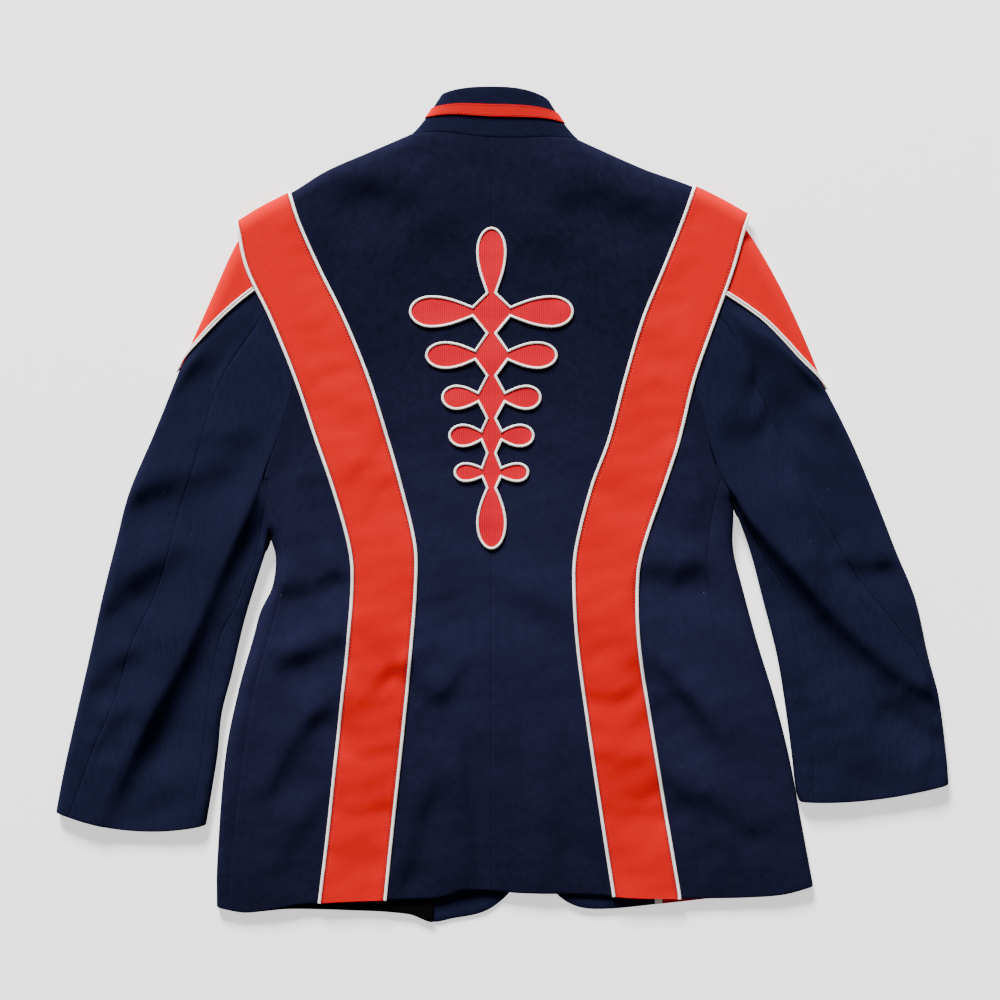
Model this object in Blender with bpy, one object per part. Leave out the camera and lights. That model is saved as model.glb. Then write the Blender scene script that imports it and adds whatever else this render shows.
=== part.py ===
"""Marching band jacket, lying face down with its back up.

The tables are in millimetres, in a tailor's terms: drop is the distance below the back neck, and out
is the distance from the centre-back line, to the left or to the right. A seam line between two pieces
is one shared line, and every piece stops half a seam gap short of it. What lies on a panel is made
from the panel's own points, moved out by the gap and by its own thickness.
"""
import math

import bmesh
import bpy
from mathutils import Vector

MM = 0.001

# Where the centre-back line and the back neck stand, with the whole jacket centred on the origin
CENTRE_BACK_X = -10.8
BACK_NECK_Y = 367.4

# Cloth and trims
CLOTH = 1.6
COLLAR_CLOTH = 2.0
SEAM_GAP = 0.34
OVERLAY_GAP = 0.4
CORD_GAP = 0.7
CAP_GAP = 0.3
BAND_THICK = 1.5
PIPING_WIDTH = 3.6
PIPING_HEIGHT = 1.5
CORD_WIDTH = 2.2
CORD_HEIGHT = 1.6
CORD_SPACING = 2.7
CORD_STEPS = 6
POINT_SHIFT = 1.0
POINT_RUN = 0.14
BRAID_THICK = 1.0
TRIM_THICK = 1.2
LADDER_THICK = 1.2
LADDER_CORD = 2.6

# Height of the laid jacket, outside to outside, and the roundness of its folds
CHEST_HEIGHT = 20.0
HEM_HEIGHT = 9.0
TAPER_FROM = 0.56
SHOULDER_ROUND = 14.0
FOLD_ROUND = 0.7
FOLD_STEP = math.radians(12)
SHOULDER_SLOPE = 0.9
SHOULDER_LEAN = 0.45
COLLAR_RISE = 4.0
COLLAR_CURVE = 3.0
COLLAR_TAPER = 0.8

# Lift of the hidden under layers over what lies between them and the surface
BAND_LIFT = 2.45
BAND_RISE_FROM = 15.0
BAND_RISE = 12.0
BAND_FALL_FROM = 6.0
BAND_FALL = 24.0
NECK_LIFT = 1.5
NECK_LIFT_ROWS = 0.05
LAP_LIFT = 2.2
LAP_FALL_FROM = 20.0
LAP_FALL = 35.0

# The centre front: where it meets the neck, how far it slants over its length, and the lap past it
CENTRE_FRONT_OUT = 8.5
CENTRE_FRONT_SLANT = 22.0
FRONT_LENGTH = 690.0
LAP = 14.0

# The sleeve blends from its head over this part of its length, and its bowed cuff lies this full
HEAD_BLEND = 0.12
HEAD_LIFT_FROM = 0.05
HEAD_STRAY_POWER = 4
CUFF_BOW_POWER = 4
CUFF_BOW_SHARE = 0.8

# How many steps each piece is made of
CAP_STEPS = 6
ARMHOLE_STEPS = 9
SEAM_START = 12
SIDE_PARTS = (0.05, 0.11, 0.18, 0.27, 0.4, 0.57, 0.78, 1)
FOREARM_COLUMN = 13
ELBOW_COLUMN = 7
SLEEVE_PARTS = (0, 0.04, 0.1, 0.2, 0.32, 0.46, 0.61, 0.75, 0.88, 1)
JUNCTION = CAP_STEPS + ARMHOLE_STEPS
STEP_GROWTH = 1.8
NECK_STATIONS = (0, 0.5, 0.86, 1)
NARROW_END = 0.9
SEAM_WEDGE = 1.4
BAND_COLUMNS = (0.1, 0.5, 0.9)
BAND_TO_EDGE = 8.0
CAP_PARTS = (0, 0.33, 0.67, 1)
STRIP_STEPS = 2
SHARE_STEP = 0.02
STRIP_GROWTH = 1.3
ARMHOLE_FLAT = 6.0
FOLD_COLUMN = 0.6
CROSSING_ROUNDS = 24
FOLD_LINE_STEPS = 24
CORD_END_CLEAR = 2.0
CORD_SEARCH = 50

SIGN = {"left": -1, "right": 1}
TOP = 1
UNDER = -1


class Table:
    """Rows of sizes under named columns, read as smooth curves between the rows."""

    def __init__(self, columns, *rows):
        self.places = [row[0] for row in rows]
        self.columns = {name: [row[k] for row in rows] for k, name in enumerate(columns.split())}

    def at(self, name, place):
        xs = self.places
        ys = self.columns[name]
        place = min(max(place, xs[0]), xs[-1])
        k = max(i for i in range(len(xs) - 1) if xs[i] <= place)
        span = xs[k + 1] - xs[k]
        t = (place - xs[k]) / span
        start = slope(xs, ys, k) * span
        end = slope(xs, ys, k + 1) * span
        square = t * t
        cube = square * t
        return ((2 * cube - 3 * square + 1) * ys[k] + (cube - 2 * square + t) * start
                + (3 * square - 2 * cube) * ys[k + 1] + (cube - square) * end)


def slope(xs, ys, k):
    before = max(k - 1, 0)
    after = min(k + 1, len(xs) - 1)
    return (ys[after] - ys[before]) / (xs[after] - xs[before])


class Line:
    """A smooth line through (out, drop) points, read by the part of its length."""

    def __init__(self, *points):
        run = [0.0]
        for a, b in zip(points, points[1:]):
            run.append(run[-1] + math.dist(a, b))
        rows = [(length / run[-1], *point) for length, point in zip(run, points)]
        self.table = Table("part out drop", *rows)

    def at(self, part):
        return self.table.at("out", part), self.table.at("drop", part)


# The back neck seam, and the shoulder line with the top of the wing
NECK = {
    "left": Table("out drop", (0, 0), (20, -2), (50, -5.5), (80.5, -5)),
    "right": Table("out drop", (0, 0), (36.5, 0), (61.5, -1), (87, 0.5)),
}
SHOULDER = {
    "left": Table("out drop", (80.5, -5), (120, 12), (165.7, 32), (198.8, 52.6), (232, 70), (254.5, 84)),
    "right": Table("out drop", (87, 0.5), (120, 15.6), (155.5, 31), (188.5, 42.5), (209.5, 51),
                   (231.5, 62), (254.5, 75)),
}
FRONT_NECK_DROP = 76.0
FRONT_NECK_CURVE = 2.6

# The back hem, and the front hem that shows below it
HEM = {
    "left": Table("out drop", (0, 752), (28, 752), (52, 759), (104, 761.4), (190, 766), (244, 774.7),
                  (276, 769.6)),
    "right": Table("out drop", (0, 752), (28, 755), (95, 756), (147, 759.6), (225, 760.3), (290, 757),
                   (323, 748.3)),
}
FRONT_HEM = {
    "left": Table("out drop", (-40, 705), (-33, 732), (-18.5, 755), (5.5, 773.7), (40.5, 781.8),
                  (60, 784.9), (83.5, 776.7), (148.5, 772.6), (203.5, 771.6), (244, 774.7), (276, 769.6)),
    "right": Table("out drop", (20, 690), (40, 722), (62.5, 753.7), (84.5, 768.5), (112.5, 771.5),
                   (164.5, 766.8), (212.5, 761.5), (225, 760.3), (290, 757), (323, 748.3)),
}

# The band on the back and on the front, centre of piping to centre of piping
BACK_BAND = {
    "left": Table("drop inner outer", (50, 202.8, 270), (84, 192, 254.5), (130, 171.7, 243.5),
                  (180, 147, 219.8), (240, 122.5, 195.3), (302, 103, 174.2), (347, 90.2, 158.5),
                  (404, 76.5, 142.3), (436, 75.2, 138.5), (501, 79.5, 142.8), (592, 88.5, 152.7),
                  (694, 99.6, 163.8), (765, 106.9, 172.4)),
    "right": Table("drop inner outer", (50, 202, 270), (84, 190, 254.2), (130, 171.7, 240.8),
                   (180, 151.2, 223), (240, 133.2, 202), (302, 116.7, 186.6), (347, 100, 172),
                   (404, 85.3, 152.3), (436, 82, 145.8), (501, 85.3, 146.6), (587, 96.7, 159.6),
                   (694, 112.6, 177.6), (757, 122.5, 188.3)),
}
FRONT_BAND = {
    "left": Table("drop inner outer", (50, 202.8, 270), (84, 192, 254.5), (180, 147, 219.8),
                  (300, 128, 190), (430, 122, 184), (600, 144, 206), (772, 169.5, 231.5)),
    "right": Table("drop inner outer", (50, 202, 270), (84, 190, 254.2), (180, 151.2, 223),
                   (300, 132, 194), (430, 126, 188), (600, 146, 208), (762, 169.5, 231.5)),
}

# The armhole from the shoulder tip down, and the side seam and side fold below it
ARMHOLE = {
    "left": Table("drop out", (69, 229), (161, 208.5), (249, 197.8), (267, 202.5), (294, 211),
                  (339, 227.5), (361, 224.5), (397, 221.5)),
    "right": Table("drop out", (62, 230), (161, 211.5), (248, 202.5), (274, 210.5), (321, 222.5),
                   (349, 234.5), (363, 241.5)),
}
SIDE = {
    "left": Table("drop seam fold", (351, 223, 225), (374, 217, 223), (397, 208.5, 221.5),
                  (418, 205, 216), (448, 209.5, 219.5), (472, 214, 231), (499, 222, 238.5),
                  (550, 236.5, 253), (616, 247.5, 266.5), (726, 261, 275.5), (775, 263.5, 275.8)),
    "right": Table("drop seam fold", (339, 228.5, 231), (363, 222.5, 241.5), (409, 215.5, 241.8),
                   (448, 217.5, 251), (503, 223.5, 266), (558, 233.5, 283), (621, 247.5, 299),
                   (682, 261.5, 310.5), (751, 276.5, 323.5)),
}
CAP_SEAM_DROP = {"left": 133, "right": 142}
ELBOW_SEAM_DROP = {"left": 152, "right": 160}
SIDE_SEAM_DROP = {"left": 342, "right": 326}
JUNCTION_DROP = {"left": 397, "right": 363.5}

# The sleeve's own lines. The cap's outer edge and its seam meet in the cap's point
CAP_EDGE = {
    "left": Line((229, 69), (254.5, 103), (281, 161), (312.5, 231.7)),
    "right": Line((230, 62), (255.5, 91), (284.5, 139), (310.5, 193), (333.5, 249)),
}
CAP_SEAM = {
    "left": Line((312.5, 231.7), (305, 218), (291.5, 202), (273.5, 182), (253.5, 163.7), (235.5, 149.6),
                 (215.3, 133)),
    "right": Line((333.5, 249), (325.5, 238), (310.5, 222), (292.5, 202), (272.5, 182), (252.5, 167),
                  (233.5, 154.5), (216, 142)),
}
OUTER_EDGE = {
    "left": Line((312.5, 231.7), (337.5, 294), (363.5, 355), (376.5, 405), (390.5, 461), (402.5, 516),
                 (416.5, 577), (429.9, 637), (436.9, 674)),
    "right": Line((333.5, 249), (359.5, 300.5), (382.5, 354), (405.5, 413), (424.5, 459), (437.5, 517),
                  (448.5, 559), (456.5, 620), (458.5, 646)),
}
ELBOW_SEAM = {
    "left": Line((209.9, 152), (238.5, 193), (272.5, 246), (288.5, 297), (301.5, 342), (313, 373),
                 (323.5, 417), (337.5, 456), (359.5, 502.5), (376.9, 559), (398.5, 607), (423.5, 675)),
    "right": Line((211.6, 160), (243.5, 201), (270.5, 261), (293.5, 309), (311.5, 347), (334.5, 385),
                  (361.5, 432), (398.5, 478), (428, 519), (444, 576), (452, 647)),
}
FOREARM_SEAM = {
    "left": Line((224, 372), (238, 428), (256, 470), (272.5, 501), (284.5, 564), (290.5, 620), (300, 686)),
    "right": Line((233, 345), (262, 400), (280, 430), (293.5, 452), (303.5, 491), (313.5, 549),
                  (321.5, 612), (323.5, 662)),
}
INNER_EDGE = {
    "left": Line((221.5, 397), (234.5, 438), (247.5, 481), (260.5, 536), (270.5, 575), (274.5, 614),
                 (278.5, 640), (286.5, 687)),
    "right": Line((241.5, 363.5), (258.5, 410), (271.5, 459), (285.5, 514), (292.5, 554), (300, 608),
                  (305.5, 653), (309, 663.5)),
}
CUFF_BOW = {"left": 15.0, "right": 8.0}
SLEEVE = Table("part height", (0, 20), (0.3, 17), (0.7, 14), (1, 11))

# The collar: half widths and drops of its top edge, and the height of the braid on it
COLLAR_TOP = {"left": (50, -44), "right": (57, -39)}
COLLAR_TOP_DROP = -50.2
COLLAR_DEPTH = 50.0
BRAID_FROM = 0.41
BRAID_TO = 0.65

# The ladder of paired loops: where each pair lies, its reach, its half width and where it is widest
LADDER = Table("drop reach half widest neck", (173.5, 80.8, 14.9, 60, 18.7), (217, 64.7, 12.6, 46, 16.1),
               (259, 48.7, 11.3, 35, 13.1), (297, 41.7, 10.5, 28.5, 10), (333.5, 36.4, 8.7, 26, 9.3))
LADDER_WAISTS = (154.7, 194.8, 237.1, 279.4, 314.1, 348.8)
LADDER_WAIST = 4.0
LADDER_ENDS = {"top": (90.4, 113.5), "bottom": (409.2, 384.6)}
LADDER_END_HALF = 13.9
LOOP_STEPS = 3

# What shows of the fronts' inside below the back hem
FACING_REACH = {"left": (-17, 58), "right": (60, 163)}
LINING_REACH = (59, 206)
TURN_UP_REACH = (172, 212)
TURN_UP_PIPING = (164, 171.4)
INSIDE_ROWS = (0.93, 0.965, 1)

# Colours of the cloths and trims
NAVY = (0.010, 0.013, 0.034)
ORANGE = (0.77, 0.040, 0.022)
RED = (0.80, 0.035, 0.042)
WHITE = (0.90, 0.84, 0.78)
BLACK = (0.006, 0.006, 0.006)


def clamp(value, low=0.0, high=1.0):
    return min(max(value, low), high)


def ease(value):
    value = clamp(value)
    return value * value * (3 - 2 * value)


def mix(a, b, part):
    return a + (b - a) * part


def round_height(part):
    """Height of a quarter-round fold at a part of its width: 0 on the fold, 1 on the flat."""
    part = clamp(part)
    return math.sqrt(1 - (1 - part) ** 2)


def place(side, out, drop, z):
    return Vector((CENTRE_BACK_X + SIGN[side] * out, BACK_NECK_Y - drop, z))


# The body

def neck_width(side):
    return NECK[side].places[-1]


def top_drop(side, out, face):
    """Drop of the top edge: the neck seam, then the shoulder and the wing's fold."""
    neck = neck_width(side)
    if out >= neck:
        return SHOULDER[side].at("drop", out)
    if face == TOP:
        return NECK[side].at("drop", out)
    part = abs(out) / neck
    return mix(FRONT_NECK_DROP, SHOULDER[side].at("drop", neck), part ** FRONT_NECK_CURVE)


def row_drop(side, out, v, face):
    hem = (HEM if face == TOP else FRONT_HEM)[side].at("drop", out)
    return mix(top_drop(side, out, face), hem, v)


def row_at(side, out, drop):
    """The row that passes through a place on the side of the body, where both faces agree."""
    top = top_drop(side, out, TOP)
    return (drop - top) / (HEM[side].at("drop", out) - top)


def out_at(side, v, face, table, column):
    """Where a line that a table gives by its drop crosses a row."""
    out = table[side].columns[column][0]
    for _ in range(CROSSING_ROUNDS):
        out = table[side].at(column, row_drop(side, out, v, face))
    return out


def body_height(v):
    return mix(CHEST_HEIGHT, HEM_HEIGHT, ease((v - TAPER_FROM) / (1 - TAPER_FROM)))


def body_rows(side):
    """Rows from the shoulder fold to the hem, through the armhole's own points."""
    cap_row = row_at(side, CAP_SEAM[side].at(1)[0], CAP_SEAM_DROP[side])
    elbow_row = row_at(side, ELBOW_SEAM[side].at(0)[0], ELBOW_SEAM_DROP[side])
    seam_row = row_at(side, ARMHOLE[side].at("out", SIDE_SEAM_DROP[side]), SIDE_SEAM_DROP[side])
    junction_row = row_at(side, ARMHOLE[side].columns["out"][-1], JUNCTION_DROP[side])
    rows = [cap_row * (k / CAP_STEPS) ** STEP_GROWTH for k in range(CAP_STEPS)]
    rows += [cap_row]
    steps = SEAM_START - ELBOW_COLUMN
    rows += [mix(elbow_row, seam_row, k / steps) for k in range(steps + 1)]
    steps = JUNCTION - SEAM_START
    rows += [mix(seam_row, junction_row, k / steps) for k in range(1, steps + 1)]
    rows += [mix(junction_row, 1, part) for part in SIDE_PARTS]
    return rows


def junction_point(side):
    return ARMHOLE[side].columns["out"][-1], JUNCTION_DROP[side]


def fold_out(side, v, face):
    """Outermost line of the body: the armhole down to the junction, then the side fold."""
    if v < ROWS[side][JUNCTION] - 1e-6:
        return out_at(side, v, face, ARMHOLE, "out")
    return out_at(side, v, face, SIDE, "fold")


def lap_lift(side, out, drop):
    """The right front lies over the left one where they lap at the centre front."""
    if side == "left":
        return 0.0
    past = out - centre_front(side, drop) - LAP
    return LAP_LIFT * (1 - ease((past - LAP_FALL_FROM) / LAP_FALL))


def centre_front(side, drop):
    slant = CENTRE_FRONT_SLANT * clamp((drop - FRONT_NECK_DROP) / FRONT_LENGTH)
    return SIGN[side] * (CENTRE_FRONT_OUT + slant)


def band_lift(side, out, drop):
    """The front panel drapes over the band that lies under it."""
    inner = FRONT_BAND[side].at("inner", drop)
    outer = FRONT_BAND[side].at("outer", drop)
    rise = ease((out - inner + BAND_RISE_FROM) / BAND_RISE)
    fall = 1 - ease((out - outer - BAND_FALL_FROM) / BAND_FALL)
    return BAND_LIFT * min(rise, fall)


def body_point(side, out, v, face, depth=0.0):
    """A point of the back or front panel, below its outer face by depth, or above it if negative."""
    drop = row_drop(side, out, v, face)
    height = body_height(v)
    fold_round = FOLD_ROUND * height
    neck = neck_width(side)
    neck_part = 0.0
    if abs(out) < neck:
        neck_part = (1 - (abs(out) / neck) ** COLLAR_CURVE) ** (1 / COLLAR_CURVE)
    length = HEM[side].at("drop", out) - top_drop(side, out, TOP)
    from_top = v * length * SHOULDER_SLOPE / SHOULDER_ROUND
    reach = (junction_point(side) if v < ROWS[side][JUNCTION] - 1e-6
             else (out_at(side, v, face, SIDE, "fold"), drop))
    from_side = math.hypot(reach[0] - out, reach[1] - drop) / fold_round
    if from_top <= from_side:
        rise = neck_part + (1 - neck_part) * round_height(from_top)
        steep = SHOULDER_LEAN if out >= neck else 0.0
        away = Vector((SIGN[side] * steep, 1, 0)).normalized()
    else:
        rise = round_height(from_side)
        away = Vector((SIGN[side] * (reach[0] - out), drop - reach[1], 0))
        away = away.normalized() if away.length > 1e-6 else Vector((SIGN[side], 0, 0))
    z = height / 2 * (1 + face * rise)
    if face == UNDER:
        neck_rise = NECK_LIFT * neck_part * (1 - ease(v / NECK_LIFT_ROWS))
        z += max(band_lift(side, out, drop), lap_lift(side, out, drop)) * rise + neck_rise
    normal = away * math.sqrt(max(0.0, 1 - rise * rise)) + Vector((0, 0, face * rise))
    return place(side, out, drop, z) - normal * depth, normal


def armhole_point(side, k, face):
    v = ROWS[side][k]
    if k == JUNCTION:
        out = junction_point(side)[0] - fold_margin(v)
        return body_point(side, out, v, face)
    return body_point(side, fold_out(side, v, face), v, face)


def fold_margin(v):
    return FOLD_ROUND * body_height(v) * (1 - math.cos(FOLD_STEP))


def fold_near(side, v):
    """The line just inside the side fold, on either face."""
    return out_at(side, v, TOP, SIDE, "fold") - fold_margin(v)


# The sleeve

def nearest(line, out, drop):
    """Distance from a plan place to a line of plan points, and the way to its nearest point."""
    best = (math.inf, (0, 0), (0, 0))
    for a, b in zip(line, line[1:]):
        run = (b[0] - a[0], b[1] - a[1])
        part = clamp(((out - a[0]) * run[0] + (drop - a[1]) * run[1]) / (run[0] ** 2 + run[1] ** 2))
        spot = (a[0] + run[0] * part, a[1] + run[1] * part)
        distance = math.dist(spot, (out, drop))
        if distance < best[0]:
            best = (distance, spot, (run[1], -run[0]))
    return best


def fold_rise(side, out, drop, height, face):
    """Rise and normal of the sleeve's surface beside its outer or inner fold."""
    outer = nearest(FOLDS[side]["outer"], out, drop)
    inner = nearest(FOLDS[side]["inner"], out, drop)
    distance, spot, square = min(outer, inner)
    if outer > inner:
        square = (-square[0], -square[1])
    rise = round_height(distance / (FOLD_ROUND * height))
    way = square if distance < 0.5 else (spot[0] - out, spot[1] - drop)
    away = Vector((SIGN[side] * way[0], -way[1], 0)).normalized()
    return rise, away * math.sqrt(max(0.0, 1 - rise * rise)) + Vector((0, 0, face * rise))


def head_point(side, k, face):
    """The sleeve's upper edge: the cap's seam from the point, then the armhole to the junction."""
    if k >= CAP_STEPS:
        return armhole_point(side, k, face)
    return cap_seam_point(side, (k / CAP_STEPS) ** STEP_GROWTH, face)


def cap_seam_point(side, part, face):
    out, drop = CAP_SEAM[side].at(part)
    rise, normal = fold_rise(side, out, drop, CHEST_HEIGHT, face)
    z = CHEST_HEIGHT / 2 * (1 + face * rise)
    if face == UNDER:
        z += BAND_LIFT * rise
    return place(side, out, drop, z), normal


def sleeve_plan(side, k, part):
    """Plan place of a sleeve column at a part of its length, between the sleeve's four lines."""
    outer = OUTER_EDGE[side].at(part)
    elbow = ELBOW_SEAM[side].at(part)
    forearm = FOREARM_SEAM[side].at(part)
    inner = INNER_EDGE[side].at(part)
    if k <= ELBOW_COLUMN:
        a, b, share = outer, elbow, (k / ELBOW_COLUMN) ** STEP_GROWTH
    elif k <= FOREARM_COLUMN:
        a, b, share = elbow, forearm, (k - ELBOW_COLUMN) / (FOREARM_COLUMN - ELBOW_COLUMN)
    else:
        a, b, share = forearm, inner, (k - FOREARM_COLUMN) / (JUNCTION - FOREARM_COLUMN)
    return mix(a[0], b[0], share), mix(a[1], b[1], share)


def sleeve_point(side, k, part, face, depth=0.0):
    head, head_normal = head_point(side, k, face)
    if part == 0:
        return head - head_normal * depth, head_normal
    out, drop = sleeve_plan(side, k, part)
    start = place(side, *sleeve_plan(side, k, 0), 0)
    stray = Vector((head.x - start.x, head.y - start.y, 0)) * (1 - part) ** HEAD_STRAY_POWER
    outer = OUTER_EDGE[side].at(part)
    inner = INNER_EDGE[side].at(part)
    across = clamp(math.dist((out, drop), outer) / math.dist(outer, inner))
    bow = CUFF_BOW[side] * part ** CUFF_BOW_POWER * 4 * across * (1 - across) * CUFF_BOW_SHARE
    height = SLEEVE.at("height", part)
    rise, normal = fold_rise(side, out, drop, height, face)
    if k == JUNCTION:
        rise = math.sin(FOLD_STEP)
        normal = normal * math.cos(FOLD_STEP) + Vector((0, 0, face * rise))
    lift = 0
    if face == UNDER and 0 < k < JUNCTION:
        head_lift = clamp(head.z - CHEST_HEIGHT / 2 * (1 + head_normal.z), 0, BAND_LIFT)
        lift = head_lift * rise * (1 - ease((part - HEAD_LIFT_FROM) / HEAD_BLEND))
    z = mix(head.z, height / 2 * (1 + face * rise) + lift, ease(part / HEAD_BLEND))
    normal = head_normal.lerp(normal, ease(part / HEAD_BLEND)).normalized()
    return place(side, out, drop + bow, z) + stray - normal * depth, normal


def cap_point(side, k, b, face, depth=0.0):
    """The cap between the armhole, b = 0, and its seam, b = 1, at step k from the outer edge."""
    if k > CAP_STEPS - 1:
        beside = cap_point(side, CAP_STEPS - 1, b, face, depth)
        corner = armhole_point(side, CAP_STEPS, face)
        return beside[0].lerp(corner[0] - corner[1] * depth, k - CAP_STEPS + 1), beside[1]
    at_body, body_normal = armhole_point(side, k, face)
    at_seam, seam_normal = head_point(side, k, face)
    spot = at_body.lerp(at_seam, b)
    edge = place(side, *CAP_EDGE[side].at(b), 0)
    straight = armhole_point(side, 0, face)[0].lerp(head_point(side, 0, face)[0], b)
    spot += Vector((edge.x - straight.x, edge.y - straight.y, 0)) * (1 - k / CAP_STEPS) ** 2
    normal = body_normal.lerp(seam_normal, b).normalized()
    if 0 < b < 1 and k > 0:
        out = (spot.x - CENTRE_BACK_X) * SIGN[side]
        rise, fold_normal = fold_rise(side, out, BACK_NECK_Y - spot.y, CHEST_HEIGHT, face)
        lift = BAND_LIFT * rise if face == UNDER else 0
        spot.z = mix(spot.z, CHEST_HEIGHT / 2 * (1 + face * rise) + lift, ease(b * 2))
        normal = normal.lerp(fold_normal, ease(b * 2)).normalized()
    return spot - normal * depth, normal


# Making the solids, in metres

def material(name, colour, roughness):
    made = bpy.data.materials.new(name)
    made.use_nodes = True
    shader = made.node_tree.nodes["Principled BSDF"]
    shader.inputs["Base Color"].default_value = (*colour, 1)
    shader.inputs["Roughness"].default_value = roughness
    made.diffuse_color = (*colour, 1)
    return made


def finish(bm, name, finish_material):
    bmesh.ops.recalc_face_normals(bm, faces=bm.faces)
    mesh = bpy.data.meshes.new(name)
    bm.to_mesh(mesh)
    bm.free()
    mesh.materials.append(finish_material)
    mesh.shade_smooth()
    mesh.set_sharp_from_angle(angle=math.radians(50))
    piece = bpy.data.objects.new(name, mesh)
    bpy.context.scene.collection.objects.link(piece)
    return piece


def inward(points, r, c, across, along):
    """The way into a piece from a point of its edge, square to the edge."""
    rows = len(points)
    columns = len(points[0])
    here = points[r][c][0]
    inside = points[r + across[0]][c + across[1]][0] - here
    before = points[max(r - along[0], 0)][max(c - along[1], 0)][0]
    after = points[min(r + along[0], rows - 1)][min(c + along[1], columns - 1)][0]
    edge = (after - before).normalized()
    return (inside - edge * inside.dot(edge)).normalized()


def grid_place(vert):
    """Row by row, then along the row."""
    return round(vert.co.y, 5), round(vert.co.x, 5)


def pull_in(points, gap):
    """Stop a piece half a seam gap short of the lines that it shares with its neighbours."""
    rows = len(points)
    columns = len(points[0])
    pulled = []
    for r in range(rows):
        row = []
        for c in range(columns):
            move = Vector()
            if c in (0, columns - 1):
                move += inward(points, r, c, (0, 1 if c == 0 else -1), (1, 0)) * gap
            if r in (0, rows - 1):
                move += inward(points, r, c, (1 if r == 0 else -1, 0), (0, 1)) * gap
            outer, inner = points[r][c]
            move.z = max(move.z, -outer.z, -inner.z)
            row.append((outer + move, inner + move))
        pulled.append(row)
    return pulled


def sheet(name, points, finish_material, gap=SEAM_GAP / 2, cut=None):
    """A closed wall from rows of (outer, inner) points. Cut lists the grid cells that are left out."""
    points = pull_in(points, gap)
    rows = len(points)
    columns = len(points[0])
    bm = bmesh.new()
    bmesh.ops.create_grid(bm, x_segments=columns - 1, y_segments=rows - 1, size=1)
    order = bm.verts.layers.int.new("order")
    for k, vert in enumerate(sorted(bm.verts, key=grid_place)):
        vert[order] = k
    if cut:
        corners = {frozenset((r * columns + c, r * columns + c + 1, (r + 1) * columns + c,
                              (r + 1) * columns + c + 1)) for r, c in cut}
        gone = [face for face in bm.faces if frozenset(v[order] for v in face.verts) in corners]
        bmesh.ops.delete(bm, geom=gone, context="FACES")
    for vert in bm.verts:
        r, c = divmod(vert[order], columns)
        vert.co = points[r][c][0] * MM
    wall = bmesh.ops.extrude_face_region(bm, geom=bm.faces[:])
    for item in wall["geom"]:
        if isinstance(item, bmesh.types.BMVert):
            r, c = divmod(item[order], columns)
            item.co = points[r][c][1] * MM
    return finish(bm, name, finish_material)


def cord(name, spots, width, height, finish_material, sides=4, closed=False):
    """A soft cord along (point, normal) spots, flattened to its width and height."""
    count = len(spots)
    rings = count + 1 if closed else count
    bm = bmesh.new()
    bmesh.ops.create_grid(bm, x_segments=sides, y_segments=rings - 1, size=1)
    for k, vert in enumerate(sorted(bm.verts, key=grid_place)):
        ring, step = divmod(k, sides + 1)
        ring %= count
        spot, normal = spots[ring]
        before = spots[(ring - 1) % count if closed else max(ring - 1, 0)][0]
        after = spots[(ring + 1) % count if closed else min(ring + 1, count - 1)][0]
        across = (after - before).cross(normal).normalized()
        angle = 2 * math.pi * (step % sides) / sides
        sideways = across * (width / 2 * math.cos(angle))
        vert.co = (spot + sideways + normal * (height / 2 * math.sin(angle))) * MM
    bmesh.ops.remove_doubles(bm, verts=bm.verts, dist=1e-7)
    if not closed:
        bmesh.ops.holes_fill(bm, edges=[edge for edge in bm.edges if edge.is_boundary], sides=sides)
    return finish(bm, name, finish_material)


# The pieces

def back_panel(side, wool):
    points = []
    shares = [neck_width(side) * station for station in NECK_STATIONS]
    first_inner = out_at(side, 0, TOP, BACK_BAND, "inner")
    shares.append((shares[-1] + first_inner) / 2)
    for k, v in enumerate(ROWS[side]):
        inner = out_at(side, v, TOP, BACK_BAND, "inner")
        outer = out_at(side, v, TOP, BACK_BAND, "outer")
        edge = back_edge(side, k)
        outer = min(outer, edge - BAND_TO_EDGE)
        outs = [share / first_inner * inner for share in shares] + [inner, outer, (outer + edge) / 2, edge]
        points.append([wall(body_point, side, out, v, TOP) for out in outs])
    return sheet("back_" + side, points, wool)


def back_edge(side, k):
    """The back panel's outer edge: the armhole, then the side seam from just inside it."""
    if k < SEAM_START:
        return armhole_out(side, k)
    if k == SEAM_START:
        return armhole_out(side, k) - SEAM_WEDGE
    return out_at(side, ROWS[side][k], TOP, SIDE, "seam")


def armhole_out(side, k):
    v = ROWS[side][k]
    if k == JUNCTION:
        return junction_point(side)[0] - fold_margin(v)
    return fold_out(side, v, TOP)


def wall(surface, *where):
    """A point of a surface's outer face and the one through the cloth from it."""
    return surface(*where)[0], surface(*where, CLOTH)[0]


def front_edge(side, drop):
    """The free edge of a front: past the centre front by the lap."""
    return centre_front(side, drop) - LAP


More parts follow.
